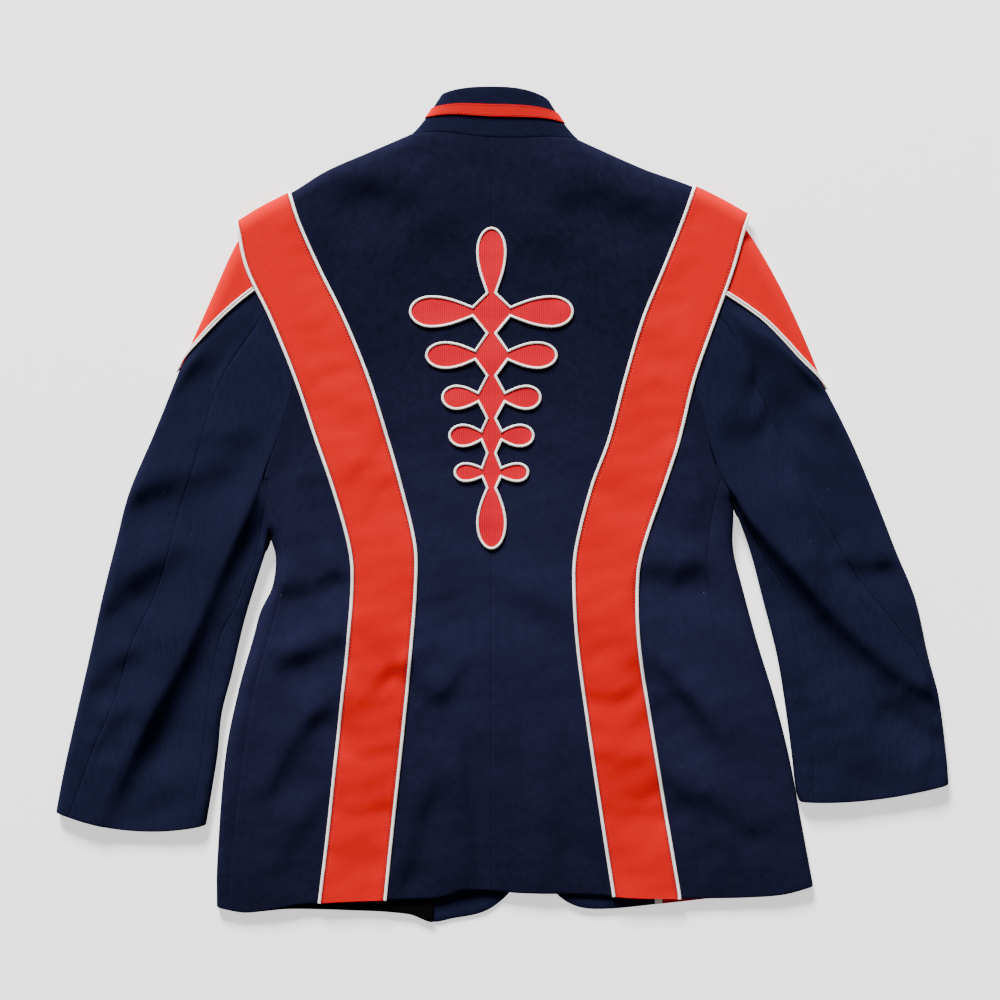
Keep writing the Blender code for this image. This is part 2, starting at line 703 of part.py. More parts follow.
def front_panel(side, wool):
    points = []
    cut = []
    ramp_first = out_at(side, ROWS[side][0], UNDER, FRONT_BAND, "inner") - BAND_RISE_FROM
    edge_first = front_edge(side, FRONT_NECK_DROP)
    shares = [0.0]
    for station in NECK_STATIONS:
        out = max(neck_width(side) * station, centre_front(side, FRONT_NECK_DROP))
        share = (out - edge_first) / (ramp_first - edge_first)
        if share > shares[-1] + SHARE_STEP:
            shares.append(share)
    shares.append(1.0)
    for k, v in enumerate(ROWS[side]):
        armhole = k < JUNCTION
        inner = out_at(side, v, UNDER, FRONT_BAND, "inner")
        outer = out_at(side, v, UNDER, FRONT_BAND, "outer")
        near = armhole_out(side, k) if k <= JUNCTION else fold_near(side, v)
        fold_under = armhole_under(side, k) if k <= JUNCTION else near
        edge = front_edge(side, mix(FRONT_NECK_DROP, FRONT_LENGTH, v))
        round_out = fold_under - (ARMHOLE_FLAT if armhole else FOLD_ROUND * body_height(v))
        outer = min(outer + BAND_FALL_FROM, round_out - BAND_TO_EDGE)
        ramp = min(outer + BAND_FALL, (outer + round_out) / 2)
        under = [mix(edge, inner - BAND_RISE_FROM, share) for share in shares]
        under += [inner - BAND_RISE_FROM + BAND_RISE, outer, ramp, round_out]
        under += [mix(round_out, fold_under, FOLD_COLUMN), fold_under]
        seam = back_edge(side, k) if k >= SEAM_START else near - SEAM_WEDGE
        strip = [mix(near, seam, (step / STRIP_STEPS) ** STRIP_GROWTH) for step in range(STRIP_STEPS + 1)]
        row = [wall(body_point, side, out, v, UNDER) for out in under]
        row += [wall(body_point, side, out, v, TOP) for out in strip]
        points.append(row)
        first_strip = len(under)
        if k < SEAM_START:
            cut += [(k, c) for c in range(first_strip - 1, first_strip + STRIP_STEPS)]
        elif k < JUNCTION:
            cut.append((k, first_strip - 1))
    return sheet("front_" + side, points, wool, cut=cut)


def armhole_under(side, k):
    v = ROWS[side][k]
    if k == JUNCTION:
        return junction_point(side)[0] - fold_margin(v)
    return fold_out(side, v, UNDER)


def strip_rows(side):
    """The band's own course: up the back from the hem, over the shoulder fold and down the front."""
    rows = ROWS[side]
    return [(v, TOP) for v in reversed(rows)] + [(v, UNDER) for v in rows[1:]]


def band_point(side, v, face, share, depth):
    table = BACK_BAND if face == TOP else FRONT_BAND
    inner = out_at(side, v, face, table, "inner")
    outer = out_at(side, v, face, table, "outer")
    inset = PIPING_WIDTH / 2 + SEAM_GAP
    if share == 0:
        out = inner
    elif share == 1:
        out = outer
    else:
        first, last = BAND_COLUMNS[0], BAND_COLUMNS[-1]
        out = mix(inner + inset, outer - inset, (share - first) / (last - first))
    return body_point(side, out, v, face, depth)


def band(side, orange):
    points = []
    for v, face in strip_rows(side):
        row = []
        for share in BAND_COLUMNS:
            row.append((band_point(side, v, face, share, -OVERLAY_GAP - BAND_THICK)[0],
                        band_point(side, v, face, share, -OVERLAY_GAP)[0]))
        points.append(row)
    return sheet("band_" + side, points, orange, gap=0)


def piping(side, edge, white):
    share = 0 if edge == "inner" else 1
    depth = -OVERLAY_GAP - PIPING_HEIGHT / 2
    spots = [band_point(side, v, face, share, depth) for v, face in strip_rows(side)]
    return cord("piping_" + side + "_" + edge, spots, PIPING_WIDTH, PIPING_HEIGHT, white)


def top_sleeve(side, wool):
    points = []
    for part in SLEEVE_PARTS:
        row = [wall(sleeve_point, side, k, part, TOP) for k in range(ELBOW_COLUMN, 0, -1)]
        row += [wall(sleeve_point, side, k, part, UNDER) for k in range(0, JUNCTION + 1)]
        row += [wall(sleeve_point, side, k, part, TOP) for k in range(JUNCTION, FOREARM_COLUMN - 1, -1)]
        points.append(row)
    return sheet("top_sleeve_" + side, points, wool)


def under_sleeve(side, wool):
    points = [[wall(sleeve_point, side, k, part, TOP) for k in range(ELBOW_COLUMN, FOREARM_COLUMN + 1)]
              for part in SLEEVE_PARTS]
    return sheet("under_sleeve_" + side, points, wool)


def cap(side, orange):
    points = []
    steps = [*range(1, CAP_STEPS), CAP_STEPS - 1 + NARROW_END]
    for b in CAP_PARTS:
        row = [wall(cap_point, side, k, b, TOP) for k in reversed(steps)]
        row += [wall(cap_point, side, k, b, UNDER) for k in [0, *steps]]
        points.append(row)
    return sheet("cap_" + side, points, orange, gap=CAP_GAP)


def cap_cord(side, strand, white):
    """One strand of the double cord along the cap's seam, round the sleeve's outer fold."""
    shift = CORD_SPACING / 2 * (-1 if strand == "upper" else 1)
    tries = [k / CORD_SEARCH for k in range(CORD_SEARCH)]
    last = max(part for part in tries if clear_of_wing(side, part))
    parts = [last * (k / CORD_STEPS) ** STEP_GROWTH for k in range(CORD_STEPS + 1)]
    course = [(part, TOP) for part in reversed(parts[1:])] + [(part, UNDER) for part in parts]
    raised = []
    for part, face in course:
        spot, normal = cap_seam_point(side, part, face)
        raised.append((spot + normal * (CORD_GAP + CORD_HEIGHT / 2), normal))
    moved = []
    for k, (spot, normal) in enumerate(raised):
        along = raised[min(k + 1, len(raised) - 1)][0] - raised[max(k - 1, 0)][0]
        across = along.cross(normal).normalized() * SIGN[side]
        past_point = POINT_SHIFT * (1 - ease(course[k][0] / POINT_RUN))
        moved.append((spot + across * (shift + past_point), normal))
    return cord("cap_cord_" + side + "_" + strand, moved, CORD_WIDTH, CORD_HEIGHT, white)


def clear_of_wing(side, part):
    out, drop = CAP_SEAM[side].at(part)
    return out > BACK_BAND[side].at("outer", drop) + PIPING_WIDTH / 2 + CORD_END_CLEAR


def collar_stations():
    """Round the neck from the centre front over the right fold, the back and the left fold."""
    stations = []
    start = centre_front("right", FRONT_NECK_DROP) + SEAM_GAP
    stations.append(("right", start, UNDER))
    stations += [("right", neck_width("right") * g, UNDER) for g in NECK_STATIONS[1:]]
    stations += [("right", neck_width("right") * g, TOP) for g in reversed(NECK_STATIONS[:-1])]
    stations += [("left", neck_width("left") * g, TOP) for g in NECK_STATIONS[1:]]
    stations += [("left", neck_width("left") * g, UNDER) for g in reversed(NECK_STATIONS[1:-1])]
    stations.append(("left", centre_front("left", FRONT_NECK_DROP) + SEAM_GAP, UNDER))
    return stations


def collar_point(side, out, face, h, depth=0.0):
    """A point of the stand collar at the height h between its seam, 0, and its top edge, 1."""
    neck = neck_width(side)
    share = abs(out) / neck
    rise = (1 - min(share, 1) ** COLLAR_CURVE) ** (1 / COLLAR_CURVE)
    seam_drop = top_drop(side, out, face)
    half, corner = COLLAR_TOP[side]
    middle = COLLAR_TOP_DROP if face == TOP else FRONT_NECK_DROP - COLLAR_DEPTH
    top_edge = mix(middle, corner, share ** FRONT_NECK_CURVE)
    height = CHEST_HEIGHT + COLLAR_RISE * h
    z = CHEST_HEIGHT / 2 + height / 2 * face * rise + COLLAR_RISE / 2 * h
    if face == UNDER:
        z += NECK_LIFT * rise
    narrow = mix(out, out * half / neck, h ** COLLAR_TAPER)
    sideways = math.copysign(math.sqrt(max(0.0, 1 - rise * rise)), out)
    normal = Vector((SIGN[side] * sideways, 0, face * rise))
    seam_gap = SEAM_GAP if face == TOP else 3 * SEAM_GAP
    return place(side, narrow, mix(seam_drop - seam_gap, top_edge, h), z) - normal * depth, normal


def collar(wool):
    points = [[(collar_point(*station, h)[0], collar_point(*station, h, COLLAR_CLOTH)[0])
               for station in collar_stations()] for h in (0, BRAID_FROM, BRAID_TO, 1)]
    return sheet("collar", points, wool)


def collar_braid(orange):
    points = [[(collar_point(*station, h, -OVERLAY_GAP - BRAID_THICK)[0],
                collar_point(*station, h, -OVERLAY_GAP)[0])
               for station in collar_stations()] for h in (BRAID_FROM, BRAID_TO)]
    return sheet("collar_braid", points, orange)


def loop_profile(reach, half, widest, neck):
    """Half widths of one loop from its neck to just before its tip: (along, half width)."""
    points = [(neck, LADDER_WAIST)]
    for k in range(1, LOOP_STEPS + 1):
        part = k / LOOP_STEPS
        points.append((mix(neck, widest, part), mix(LADDER_WAIST, half, math.sin(part * math.pi / 2))))
    for k in range(1, LOOP_STEPS):
        angle = k / LOOP_STEPS * math.pi / 2
        points.append((mix(widest, reach, math.sin(angle)), half * math.cos(angle)))
    return points


def ladder_side():
    """The ladder's right edge from its top tip to its bottom tip, as (out, drop)."""
    tip, widest = LADDER_ENDS["top"]
    end = loop_profile(LADDER_WAISTS[0] - tip, LADDER_END_HALF, LADDER_WAISTS[0] - widest, 0)
    edge = [(0, tip)] + [(half, LADDER_WAISTS[0] - along) for along, half in reversed(end)]
    for k, drop in enumerate(LADDER.places):
        row = [LADDER.columns[name][k] for name in ("reach", "half", "widest", "neck")]
        profile = loop_profile(*row)
        edge += [(along, drop - half) for along, half in profile]
        edge.append((row[0], drop))
        edge += [(along, drop + half) for along, half in reversed(profile)]
        edge.append((LADDER_WAIST, LADDER_WAISTS[k + 1]))
    tip, widest = LADDER_ENDS["bottom"]
    end = loop_profile(tip - LADDER_WAISTS[-1], LADDER_END_HALF, widest - LADDER_WAISTS[-1], 0)
    edge += [(half, LADDER_WAISTS[-1] + along) for along, half in end[1:]]
    edge.append((0, tip))
    return edge


def ladder_outline():
    right = ladder_side()
    left = [(-out, drop) for out, drop in reversed(right[1:-1])]
    return [place("right", out, drop, 0) for out, drop in right + left]


def ornament(red):
    bm = bmesh.new()
    level = CHEST_HEIGHT + OVERLAY_GAP
    verts = [bm.verts.new((spot + Vector((0, 0, level))) * MM) for spot in ladder_outline()]
    bm.faces.new(verts)
    raised = bmesh.ops.extrude_face_region(bm, geom=bm.faces[:])
    tops = [item for item in raised["geom"] if isinstance(item, bmesh.types.BMVert)]
    bmesh.ops.translate(bm, verts=tops, vec=(0, 0, LADDER_THICK * MM))
    bmesh.ops.triangulate(bm, faces=[face for face in bm.faces if len(face.verts) > 4])
    return finish(bm, "ornament", red)


def ornament_cord(white):
    level = CHEST_HEIGHT + 2 * OVERLAY_GAP + LADDER_THICK + CORD_HEIGHT / 2
    spots = [(spot + Vector((0, 0, level)), Vector((0, 0, 1))) for spot in ladder_outline()]
    return cord("ornament_cord", spots, LADDER_CORD, CORD_HEIGHT, white, closed=True)


def inside_piece(name, side, reach, lift, steps, cloth):
    """A level piece on the inside of a front, from its hem up to where the back hides it."""
    points = []
    level = CLOTH + OVERLAY_GAP + lift
    for v in INSIDE_ROWS:
        row = []
        for k in range(steps + 1):
            out = mix(*reach, k / steps)
            drop = row_drop(side, out, v, UNDER)
            row.append((place(side, out, drop, level), place(side, out, drop, level + TRIM_THICK)))
        points.append(row)
    return sheet(name, points, cloth)


def build():
    for item in list(bpy.data.objects):
        bpy.data.objects.remove(item, do_unlink=True)
    navy = material("navy_wool", NAVY, 0.85)
    orange = material("orange_wool", ORANGE, 0.8)
    red = material("red_rib", RED, 0.75)
    white = material("white_cord", WHITE, 0.7)
    black = material("black_lining", BLACK, 0.5)
    for side in SIGN:
        back_panel(side, navy)
        front_panel(side, navy)
        band(side, orange)
        piping(side, "inner", white)
        piping(side, "outer", white)
        top_sleeve(side, navy)
        under_sleeve(side, navy)
        cap(side, orange)
        cap_cord(side, "upper", white)
        cap_cord(side, "lower", white)
    inside_piece("facing_left", "left", FACING_REACH["left"], 0, 4, navy)
    inside_piece("facing_right", "right", FACING_REACH["right"], LAP_LIFT, 4, navy)
    inside_piece("lining_left", "left", LINING_REACH, LAP_LIFT, 4, black)
    inside_piece("band_hem_right", "right", TURN_UP_REACH, LAP_LIFT, 2, orange)
    inside_piece("band_hem_piping", "right", TURN_UP_PIPING, LAP_LIFT, 1, white)
    collar(navy)
    collar_braid(orange)
    ornament(red)
    ornament_cord(white)


def fold_lines(side):
    """The sleeve's folds in plan: the outer one from the shoulder tip, the inner one from the junction."""
    parts = [k / FOLD_LINE_STEPS for k in range(FOLD_LINE_STEPS + 1)]
    return {"outer": [CAP_EDGE[side].at(part) for part in parts]
            + [OUTER_EDGE[side].at(part) for part in parts[1:]],
            "inner": [INNER_EDGE[side].at(part) for part in parts]}


FOLDS = {side: fold_lines(side) for side in SIGN}
ROWS = {side: body_rows(side) for side in SIGN}
build()
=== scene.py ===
"""Looks of a marching band jacket that lies face down: wool cloth, piping, cord, ribbed ladder, stitches.

The tables are in millimetres, in a tailor's terms: drop is the distance below the back neck, and out
is the distance from the centre-back line, to the left or to the right.
"""
import math

import bmesh
import bpy
import numpy as np
from bpy.props import FloatProperty, FloatVectorProperty, PointerProperty
from mathutils import Matrix, Vector


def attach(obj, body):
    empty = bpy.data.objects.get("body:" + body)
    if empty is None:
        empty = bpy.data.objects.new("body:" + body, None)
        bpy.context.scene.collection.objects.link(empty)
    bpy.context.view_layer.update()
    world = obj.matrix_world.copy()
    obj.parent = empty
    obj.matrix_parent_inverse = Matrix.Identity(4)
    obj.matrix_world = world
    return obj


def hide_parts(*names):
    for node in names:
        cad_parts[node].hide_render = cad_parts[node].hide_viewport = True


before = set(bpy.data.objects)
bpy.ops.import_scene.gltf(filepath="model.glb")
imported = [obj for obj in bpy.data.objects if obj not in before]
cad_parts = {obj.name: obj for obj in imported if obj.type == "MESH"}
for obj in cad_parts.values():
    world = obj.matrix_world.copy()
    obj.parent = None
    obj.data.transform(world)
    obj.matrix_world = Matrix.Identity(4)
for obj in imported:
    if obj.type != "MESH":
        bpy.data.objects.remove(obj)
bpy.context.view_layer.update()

bl_info = {
    "name": "Marching Band Jacket",
    "version": (1, 0),
    "blender": (4, 5, 0),
    "location": "3D View > Sidebar > Jacket",
    "description": "Cloth, trims and stage of a marching band jacket that lies face down",
    "category": "Object",
}

MM = 0.001
CENTRE_BACK_X = -10.8
BACK_NECK_Y = 367.4

# Cloth and trims
CLOTH = 1.6
COLLAR_CLOTH = 2.0
SEAM_GAP = 0.34
OVERLAY_GAP = 0.4
CORD_GAP = 0.7
BAND_THICK = 1.5
PIPING_WIDTH = 3.2
PIPING_HEIGHT = 2.0
CORD_WIDTH = 2.1
CORD_HEIGHT = 1.4
CORD_SPACING = 2.5
POINT_SHIFT = 0.2
POINT_RUN = 0.14
BRAID_THICK = 1.0
TRIM_THICK = 1.2
LADDER_THICK = 0.9
LADDER_CORD = 2.5

# Height of the laid jacket, outside to outside, and the roundness of its folds
CHEST_HEIGHT = 20.0
HEM_HEIGHT = 9.0
TAPER_FROM = 0.56
SHOULDER_ROUND = 14.0
FOLD_ROUND = 0.7
FOLD_STEP = math.radians(12)
ON_FOLD = 0.5
SHOULDER_SLOPE = 0.9
SHOULDER_LEAN = 0.45
COLLAR_RISE = 4.0
COLLAR_CURVE = 3.0
COLLAR_TAPER = 0.8

# Lift of the hidden under layers over what lies between them and the surface
BAND_LIFT = 2.45
BAND_RISE_FROM = 15.0
BAND_RISE = 12.0
BAND_FALL_FROM = 6.0
BAND_FALL = 24.0
NECK_LIFT = 1.5
NECK_LIFT_ROWS = 0.05
LAP_LIFT = 2.2
LAP_FALL_FROM = 20.0
LAP_FALL = 35.0
CENTRE_FRONT_OUT = 8.5
CENTRE_FRONT_SLANT = 22.0
FRONT_LENGTH = 690.0
LAP = 14.0

# The sleeve blends from its head over this part of its length
HEAD_BLEND = 0.12
HEAD_LIFT_FROM = 0.05
HEAD_STRAY_POWER = 4
CUFF_BOW_POWER = 4
CUFF_BOW_SHARE = 0.8

# Steps that the body's rows and the sleeve's head share
CAP_STEPS = 6
ARMHOLE_STEPS = 9
SEAM_START = 12
FOREARM_COLUMN = 13
ELBOW_COLUMN = 7
JUNCTION = CAP_STEPS + ARMHOLE_STEPS
STEP_GROWTH = 1.8
SEAM_WEDGE = 1.4

SIGN = {"left": -1, "right": 1}
TOP = 1
UNDER = -1


def slope(xs, ys, k):
    before = np.maximum(k - 1, 0)
    after = np.minimum(k + 1, len(xs) - 1)
    return (ys[after] - ys[before]) / (xs[after] - xs[before])


class Table:
    """Rows of sizes under named columns, read as smooth curves between the rows."""

    def __init__(self, columns, *rows):
        grid = np.array(rows, dtype=float)
        self.places = grid[:, 0]
        self.columns = dict(zip(columns.split(), grid.T))

    def at(self, name, place):
        xs = self.places
        ys = self.columns[name]
        place = np.clip(place, xs[0], xs[-1])
        k = np.clip(np.searchsorted(xs, place, side="right") - 1, 0, len(xs) - 2)
        span = xs[k + 1] - xs[k]
        t = (place - xs[k]) / span
        start = slope(xs, ys, k) * span
        end = slope(xs, ys, k + 1) * span
        square = t * t
        cube = square * t
        return ((2 * cube - 3 * square + 1) * ys[k] + (cube - 2 * square + t) * start
                + (3 * square - 2 * cube) * ys[k + 1] + (cube - square) * end)


class Line:
    """A smooth line through (out, drop) points, read by the part of its length."""

    def __init__(self, *points):
        run = [0.0]
        for a, b in zip(points, points[1:]):
            run.append(run[-1] + math.dist(a, b))
        rows = [(length / run[-1], *point) for length, point in zip(run, points)]
        self.table = Table("part out drop", *rows)

    def at(self, part):
        return self.table.at("out", part), self.table.at("drop", part)


# The back neck seam, and the shoulder line with the top of the wing
NECK = {
    "left": Table("out drop", (0, 0), (20, -2), (50, -5.5), (80.5, -5)),
    "right": Table("out drop", (0, 0), (36.5, 0), (61.5, -1), (87, 0.5)),
}
SHOULDER = {
    "left": Table("out drop", (80.5, -5), (120, 12), (165.7, 32), (198.8, 52.6), (232, 70), (254.5, 84)),
    "right": Table("out drop", (87, 0.5), (120, 15.6), (155.5, 31), (188.5, 42.5), (209.5, 51),
                   (231.5, 62), (254.5, 75)),
}
FRONT_NECK_DROP = 76.0
FRONT_NECK_CURVE = 2.6

# The back hem, and the front hem that shows below it
HEM = {
    "left": Table("out drop", (0, 752), (28, 752), (52, 759), (104, 761.4), (190, 766), (244, 774.7),
                  (276, 769.6)),
    "right": Table("out drop", (0, 752), (28, 755), (95, 756), (147, 759.6), (225, 760.3), (290, 757),
                   (323, 748.3)),
}
FRONT_HEM = {
    "left": Table("out drop", (-40, 705), (-33, 732), (-18.5, 755), (5.5, 773.7), (40.5, 781.8),
                  (60, 784.9), (83.5, 776.7), (148.5, 772.6), (203.5, 771.6), (244, 774.7), (276, 769.6)),
    "right": Table("out drop", (20, 690), (40, 722), (62.5, 753.7), (84.5, 768.5), (112.5, 771.5),
                   (164.5, 766.8), (212.5, 761.5), (225, 760.3), (290, 757), (323, 748.3)),
}

# The band on the back and on the front, centre of piping to centre of piping
BACK_BAND = {
    "left": Table("drop inner outer", (50, 202.8, 270), (84, 192, 254.5), (130, 171.7, 243.5),
                  (180, 147, 219.8), (240, 122.5, 195.3), (302, 103, 174.2), (347, 90.2, 158.5),
                  (404, 76.5, 142.3), (436, 75.2, 138.5), (501, 79.5, 142.8), (592, 88.5, 152.7),
                  (694, 99.6, 163.8), (765, 106.9, 172.4)),
    "right": Table("drop inner outer", (50, 202, 270), (84, 190, 254.2), (130, 171.7, 240.8),
                   (180, 151.2, 223), (240, 133.2, 202), (302, 116.7, 186.6), (347, 100, 172),
                   (404, 85.3, 152.3), (436, 82, 145.8), (501, 85.3, 146.6), (587, 96.7, 159.6),
                   (694, 112.6, 177.6), (757, 122.5, 188.3)),
}
FRONT_BAND = {
    "left": Table("drop inner outer", (50, 202.8, 270), (84, 192, 254.5), (180, 147, 219.8),
                  (300, 128, 190), (430, 122, 184), (600, 144, 206), (772, 169.5, 231.5)),
    "right": Table("drop inner outer", (50, 202, 270), (84, 190, 254.2), (180, 151.2, 223),
                   (300, 132, 194), (430, 126, 188), (600, 146, 208), (762, 169.5, 231.5)),
}

# The armhole from the shoulder tip down, and the side seam and side fold below it
ARMHOLE = {
    "left": Table("drop out", (69, 229), (161, 208.5), (249, 197.8), (267, 202.5), (294, 211),
                  (339, 227.5), (361, 224.5), (397, 221.5)),
    "right": Table("drop out", (62, 230), (161, 211.5), (248, 202.5), (274, 210.5), (321, 222.5),
                   (349, 234.5), (363, 241.5)),
}
SIDE = {
    "left": Table("drop seam fold", (351, 223, 225), (374, 217, 223), (397, 208.5, 221.5),
                  (418, 205, 216), (448, 209.5, 219.5), (472, 214, 231), (499, 222, 238.5),
                  (550, 236.5, 253), (616, 247.5, 266.5), (726, 261, 275.5), (775, 263.5, 275.8)),
    "right": Table("drop seam fold", (339, 228.5, 231), (363, 222.5, 241.5), (409, 215.5, 241.8),
                   (448, 217.5, 251), (503, 223.5, 266), (558, 233.5, 283), (621, 247.5, 299),
                   (682, 261.5, 310.5), (751, 276.5, 323.5)),
}
CAP_SEAM_DROP = {"left": 133, "right": 142}
ELBOW_SEAM_DROP = {"left": 152, "right": 160}
SIDE_SEAM_DROP = {"left": 342, "right": 326}
JUNCTION_DROP = {"left": 397, "right": 363.5}

# The sleeve's own lines. The cap's outer edge and its seam meet in the cap's point
CAP_EDGE = {
    "left": Line((229, 69), (254.5, 103), (281, 161), (312.5, 231.7)),
    "right": Line((230, 62), (255.5, 91), (284.5, 139), (310.5, 193), (333.5, 249)),
}
CAP_SEAM = {
    "left": Line((312.5, 231.7), (305, 218), (291.5, 202), (273.5, 182), (253.5, 163.7), (235.5, 149.6),
                 (215.3, 133)),
    "right": Line((333.5, 249), (325.5, 238), (310.5, 222), (292.5, 202), (272.5, 182), (252.5, 167),
                  (233.5, 154.5), (216, 142)),
}
OUTER_EDGE = {
    "left": Line((312.5, 231.7), (337.5, 294), (363.5, 355), (376.5, 405), (390.5, 461), (402.5, 516),
                 (416.5, 577), (429.9, 637), (436.9, 674)),
    "right": Line((333.5, 249), (359.5, 300.5), (382.5, 354), (405.5, 413), (424.5, 459), (437.5, 517),
                  (448.5, 559), (456.5, 620), (458.5, 646)),
}
ELBOW_SEAM = {
    "left": Line((209.9, 152), (238.5, 193), (272.5, 246), (288.5, 297), (301.5, 342), (313, 373),
                 (323.5, 417), (337.5, 456), (359.5, 502.5), (376.9, 559), (398.5, 607), (423.5, 675)),
    "right": Line((211.6, 160), (243.5, 201), (270.5, 261), (293.5, 309), (311.5, 347), (334.5, 385),
                  (361.5, 432), (398.5, 478), (428, 519), (444, 576), (452, 647)),
}
FOREARM_SEAM = {
    "left": Line((224, 372), (238, 428), (256, 470), (272.5, 501), (284.5, 564), (290.5, 620), (300, 686)),
    "right": Line((233, 345), (262, 400), (280, 430), (293.5, 452), (303.5, 491), (313.5, 549),
                  (321.5, 612), (323.5, 662)),
}
INNER_EDGE = {
    "left": Line((221.5, 397), (234.5, 438), (247.5, 481), (260.5, 536), (270.5, 575), (274.5, 614),
                 (278.5, 640), (286.5, 687)),
    "right": Line((241.5, 363.5), (258.5, 410), (271.5, 459), (285.5, 514), (292.5, 554), (300, 608),
                  (305.5, 653), (309, 663.5)),
}
CUFF_BOW = {"left": 15.0, "right": 8.0}
SLEEVE = Table("part height", (0, 20), (0.3, 17), (0.7, 14), (1, 11))
FOLD_LINE_STEPS = 24
CROSSING_ROUNDS = 24

# The collar: half widths and drops of its top edge, and the height of the braid on it
COLLAR_TOP = {"left": (50, -44), "right": (57, -39)}
COLLAR_TOP_DROP = -50.2
COLLAR_DEPTH = 50.0
BRAID_FROM = 0.41
BRAID_TO = 0.65

# The ladder of paired loops: where each pair lies, its reach, its half width and where it is widest
LADDER = Table("drop reach half widest neck", (173.5, 80.8, 14.9, 60, 18.7), (217, 64.7, 12.6, 46, 16.1),
               (259, 48.7, 11.3, 35, 13.1), (297, 41.7, 10.5, 28.5, 10), (333.5, 36.4, 8.7, 26, 9.3))
LADDER_WAISTS = (154.7, 194.8, 237.1, 279.4, 314.1, 348.8)
LADDER_WAIST = 4.0
LADDER_ENDS = {"top": (90.4, 113.5), "bottom": (409.2, 384.6)}
LADDER_END_HALF = 13.9
LOOP_STEPS = 9
TURN_IN = 1.2
LADDER_CORD_SINK = 0.35

# What shows of the fronts' inside below the back hem: the node, the front that it lies on, its reach (out),
# its lift, its finish, and the depths of its rolled edge and of its waves
INSIDE = (
    ("facing_left", "left", (-17, 58), 0.0, "navy_twill", 0.8, 0.1),
    ("facing_right", "right", (60, 163), LAP_LIFT, "navy_twill", 0.8, 0.1),
    ("lining_left", "left", (59, 206), LAP_LIFT, "lining_satin", 0.5, 0.35),
    ("band_hem_right", "right", (172, 212), LAP_LIFT, "orange_cloth", 0.4, 0.05),
    ("band_hem_piping", "right", (164, 171.4), LAP_LIFT, "white_piping", 0.4, 0.0),
)
INSIDE_FROM = 0.93
INSIDE_LENGTH = 700.0
INSIDE_ROLL_WIDTH = 5.0

# Seams: how far a piece turns down beside its seams
ROLL = 0.5
ROLL_WIDTH = 2.2
CLOSED_GAP = 0.004

# Angles, in degrees, past which an edge stays sharp, a cord's sharpest mitre, and how far round it the
# cloth map runs, as a share of its width and height
CLOTH_SHARP = 50
CORD_SHARP = 80
SHARPEST_MITRE = 0.2
ROUND_SHARE = 1.6

# Fine grids: rows and columns of the cloths, how these crowd at edges and folds, and the lengths that the
# panel's cloth step divides
CAP_ROWS = 34
ARM_ROWS = 56
BODY_LENGTH = 430
BODY_WIDTH = 250
SLEEVE_LENGTH = 520
HEM_ROWS = (0.006, 0.004, 0.002, 0)
EDGE_COLUMNS = (0.0, 0.5, 1.2, 2.1, 3.2)
ARM_ROUND = 6.0
BAND_ROWS = 150
BAND_FOLD_ROWS = 15
BAND_FOLD = 0.05
BAND_GROWTH = 1.9
BAND_COLUMNS = 15
CURL_COLUMNS = 9
CURL_GROWTH = 1.6
COLLAR_COLUMNS = 19
CLOSEST_COLUMN = 4
CAP_CORD_STEPS = 42
CAP_CORD_CLEAR = 0.4
LADDER_GRID = 5

# The stitches' ditch along a band, as a share of its width, and its width and depth
STITCH_DITCH = 0.055
DITCH_WIDTH = 0.008
DITCH_DEPTH = 0.3

# Stitches: gap, thickness and share of a band stitch's length, for the band, the braid and the cap's cord
BAND_STITCH = (0.7, 0.75, 1.0)
BRAID_STITCH = (0.8, 0.45, 1.0)
CAP_STITCH = (0.9, 0.6, 0.7)

# How deep the stitches lie: in the band, over the braid, and between the cords as a share of their height
STITCH_DEPTH = 0.16
STITCH_PROUD = 0.05
STITCH_SUNK = 0.62
BRAID_SEWN = (0.12, 0.88)

# Stage: the floor, the lamps as name, place, power and size, and the camera
WHITE = (1.0, 1.0, 1.0, 1.0)
FLOOR_HALF = 60
FLOOR_COLOUR = (0.93, 0.93, 0.93, 1.0)
FLOOR_GLOW = 0.9
STUDIO_LIGHT = 0.15
LAMPS = (("window", (-2.0, 8.0, 3.8), 3350.0, 2.4), ("room", (2.4, -1.0, 3.6), 10.0, 2.5))
LENS = 70
SENSOR = 36
FARTHEST_SEEN = 120
CAMERA_OVER = (-0.0023, 0.0064)
CLOTH_LEVEL = 0.012

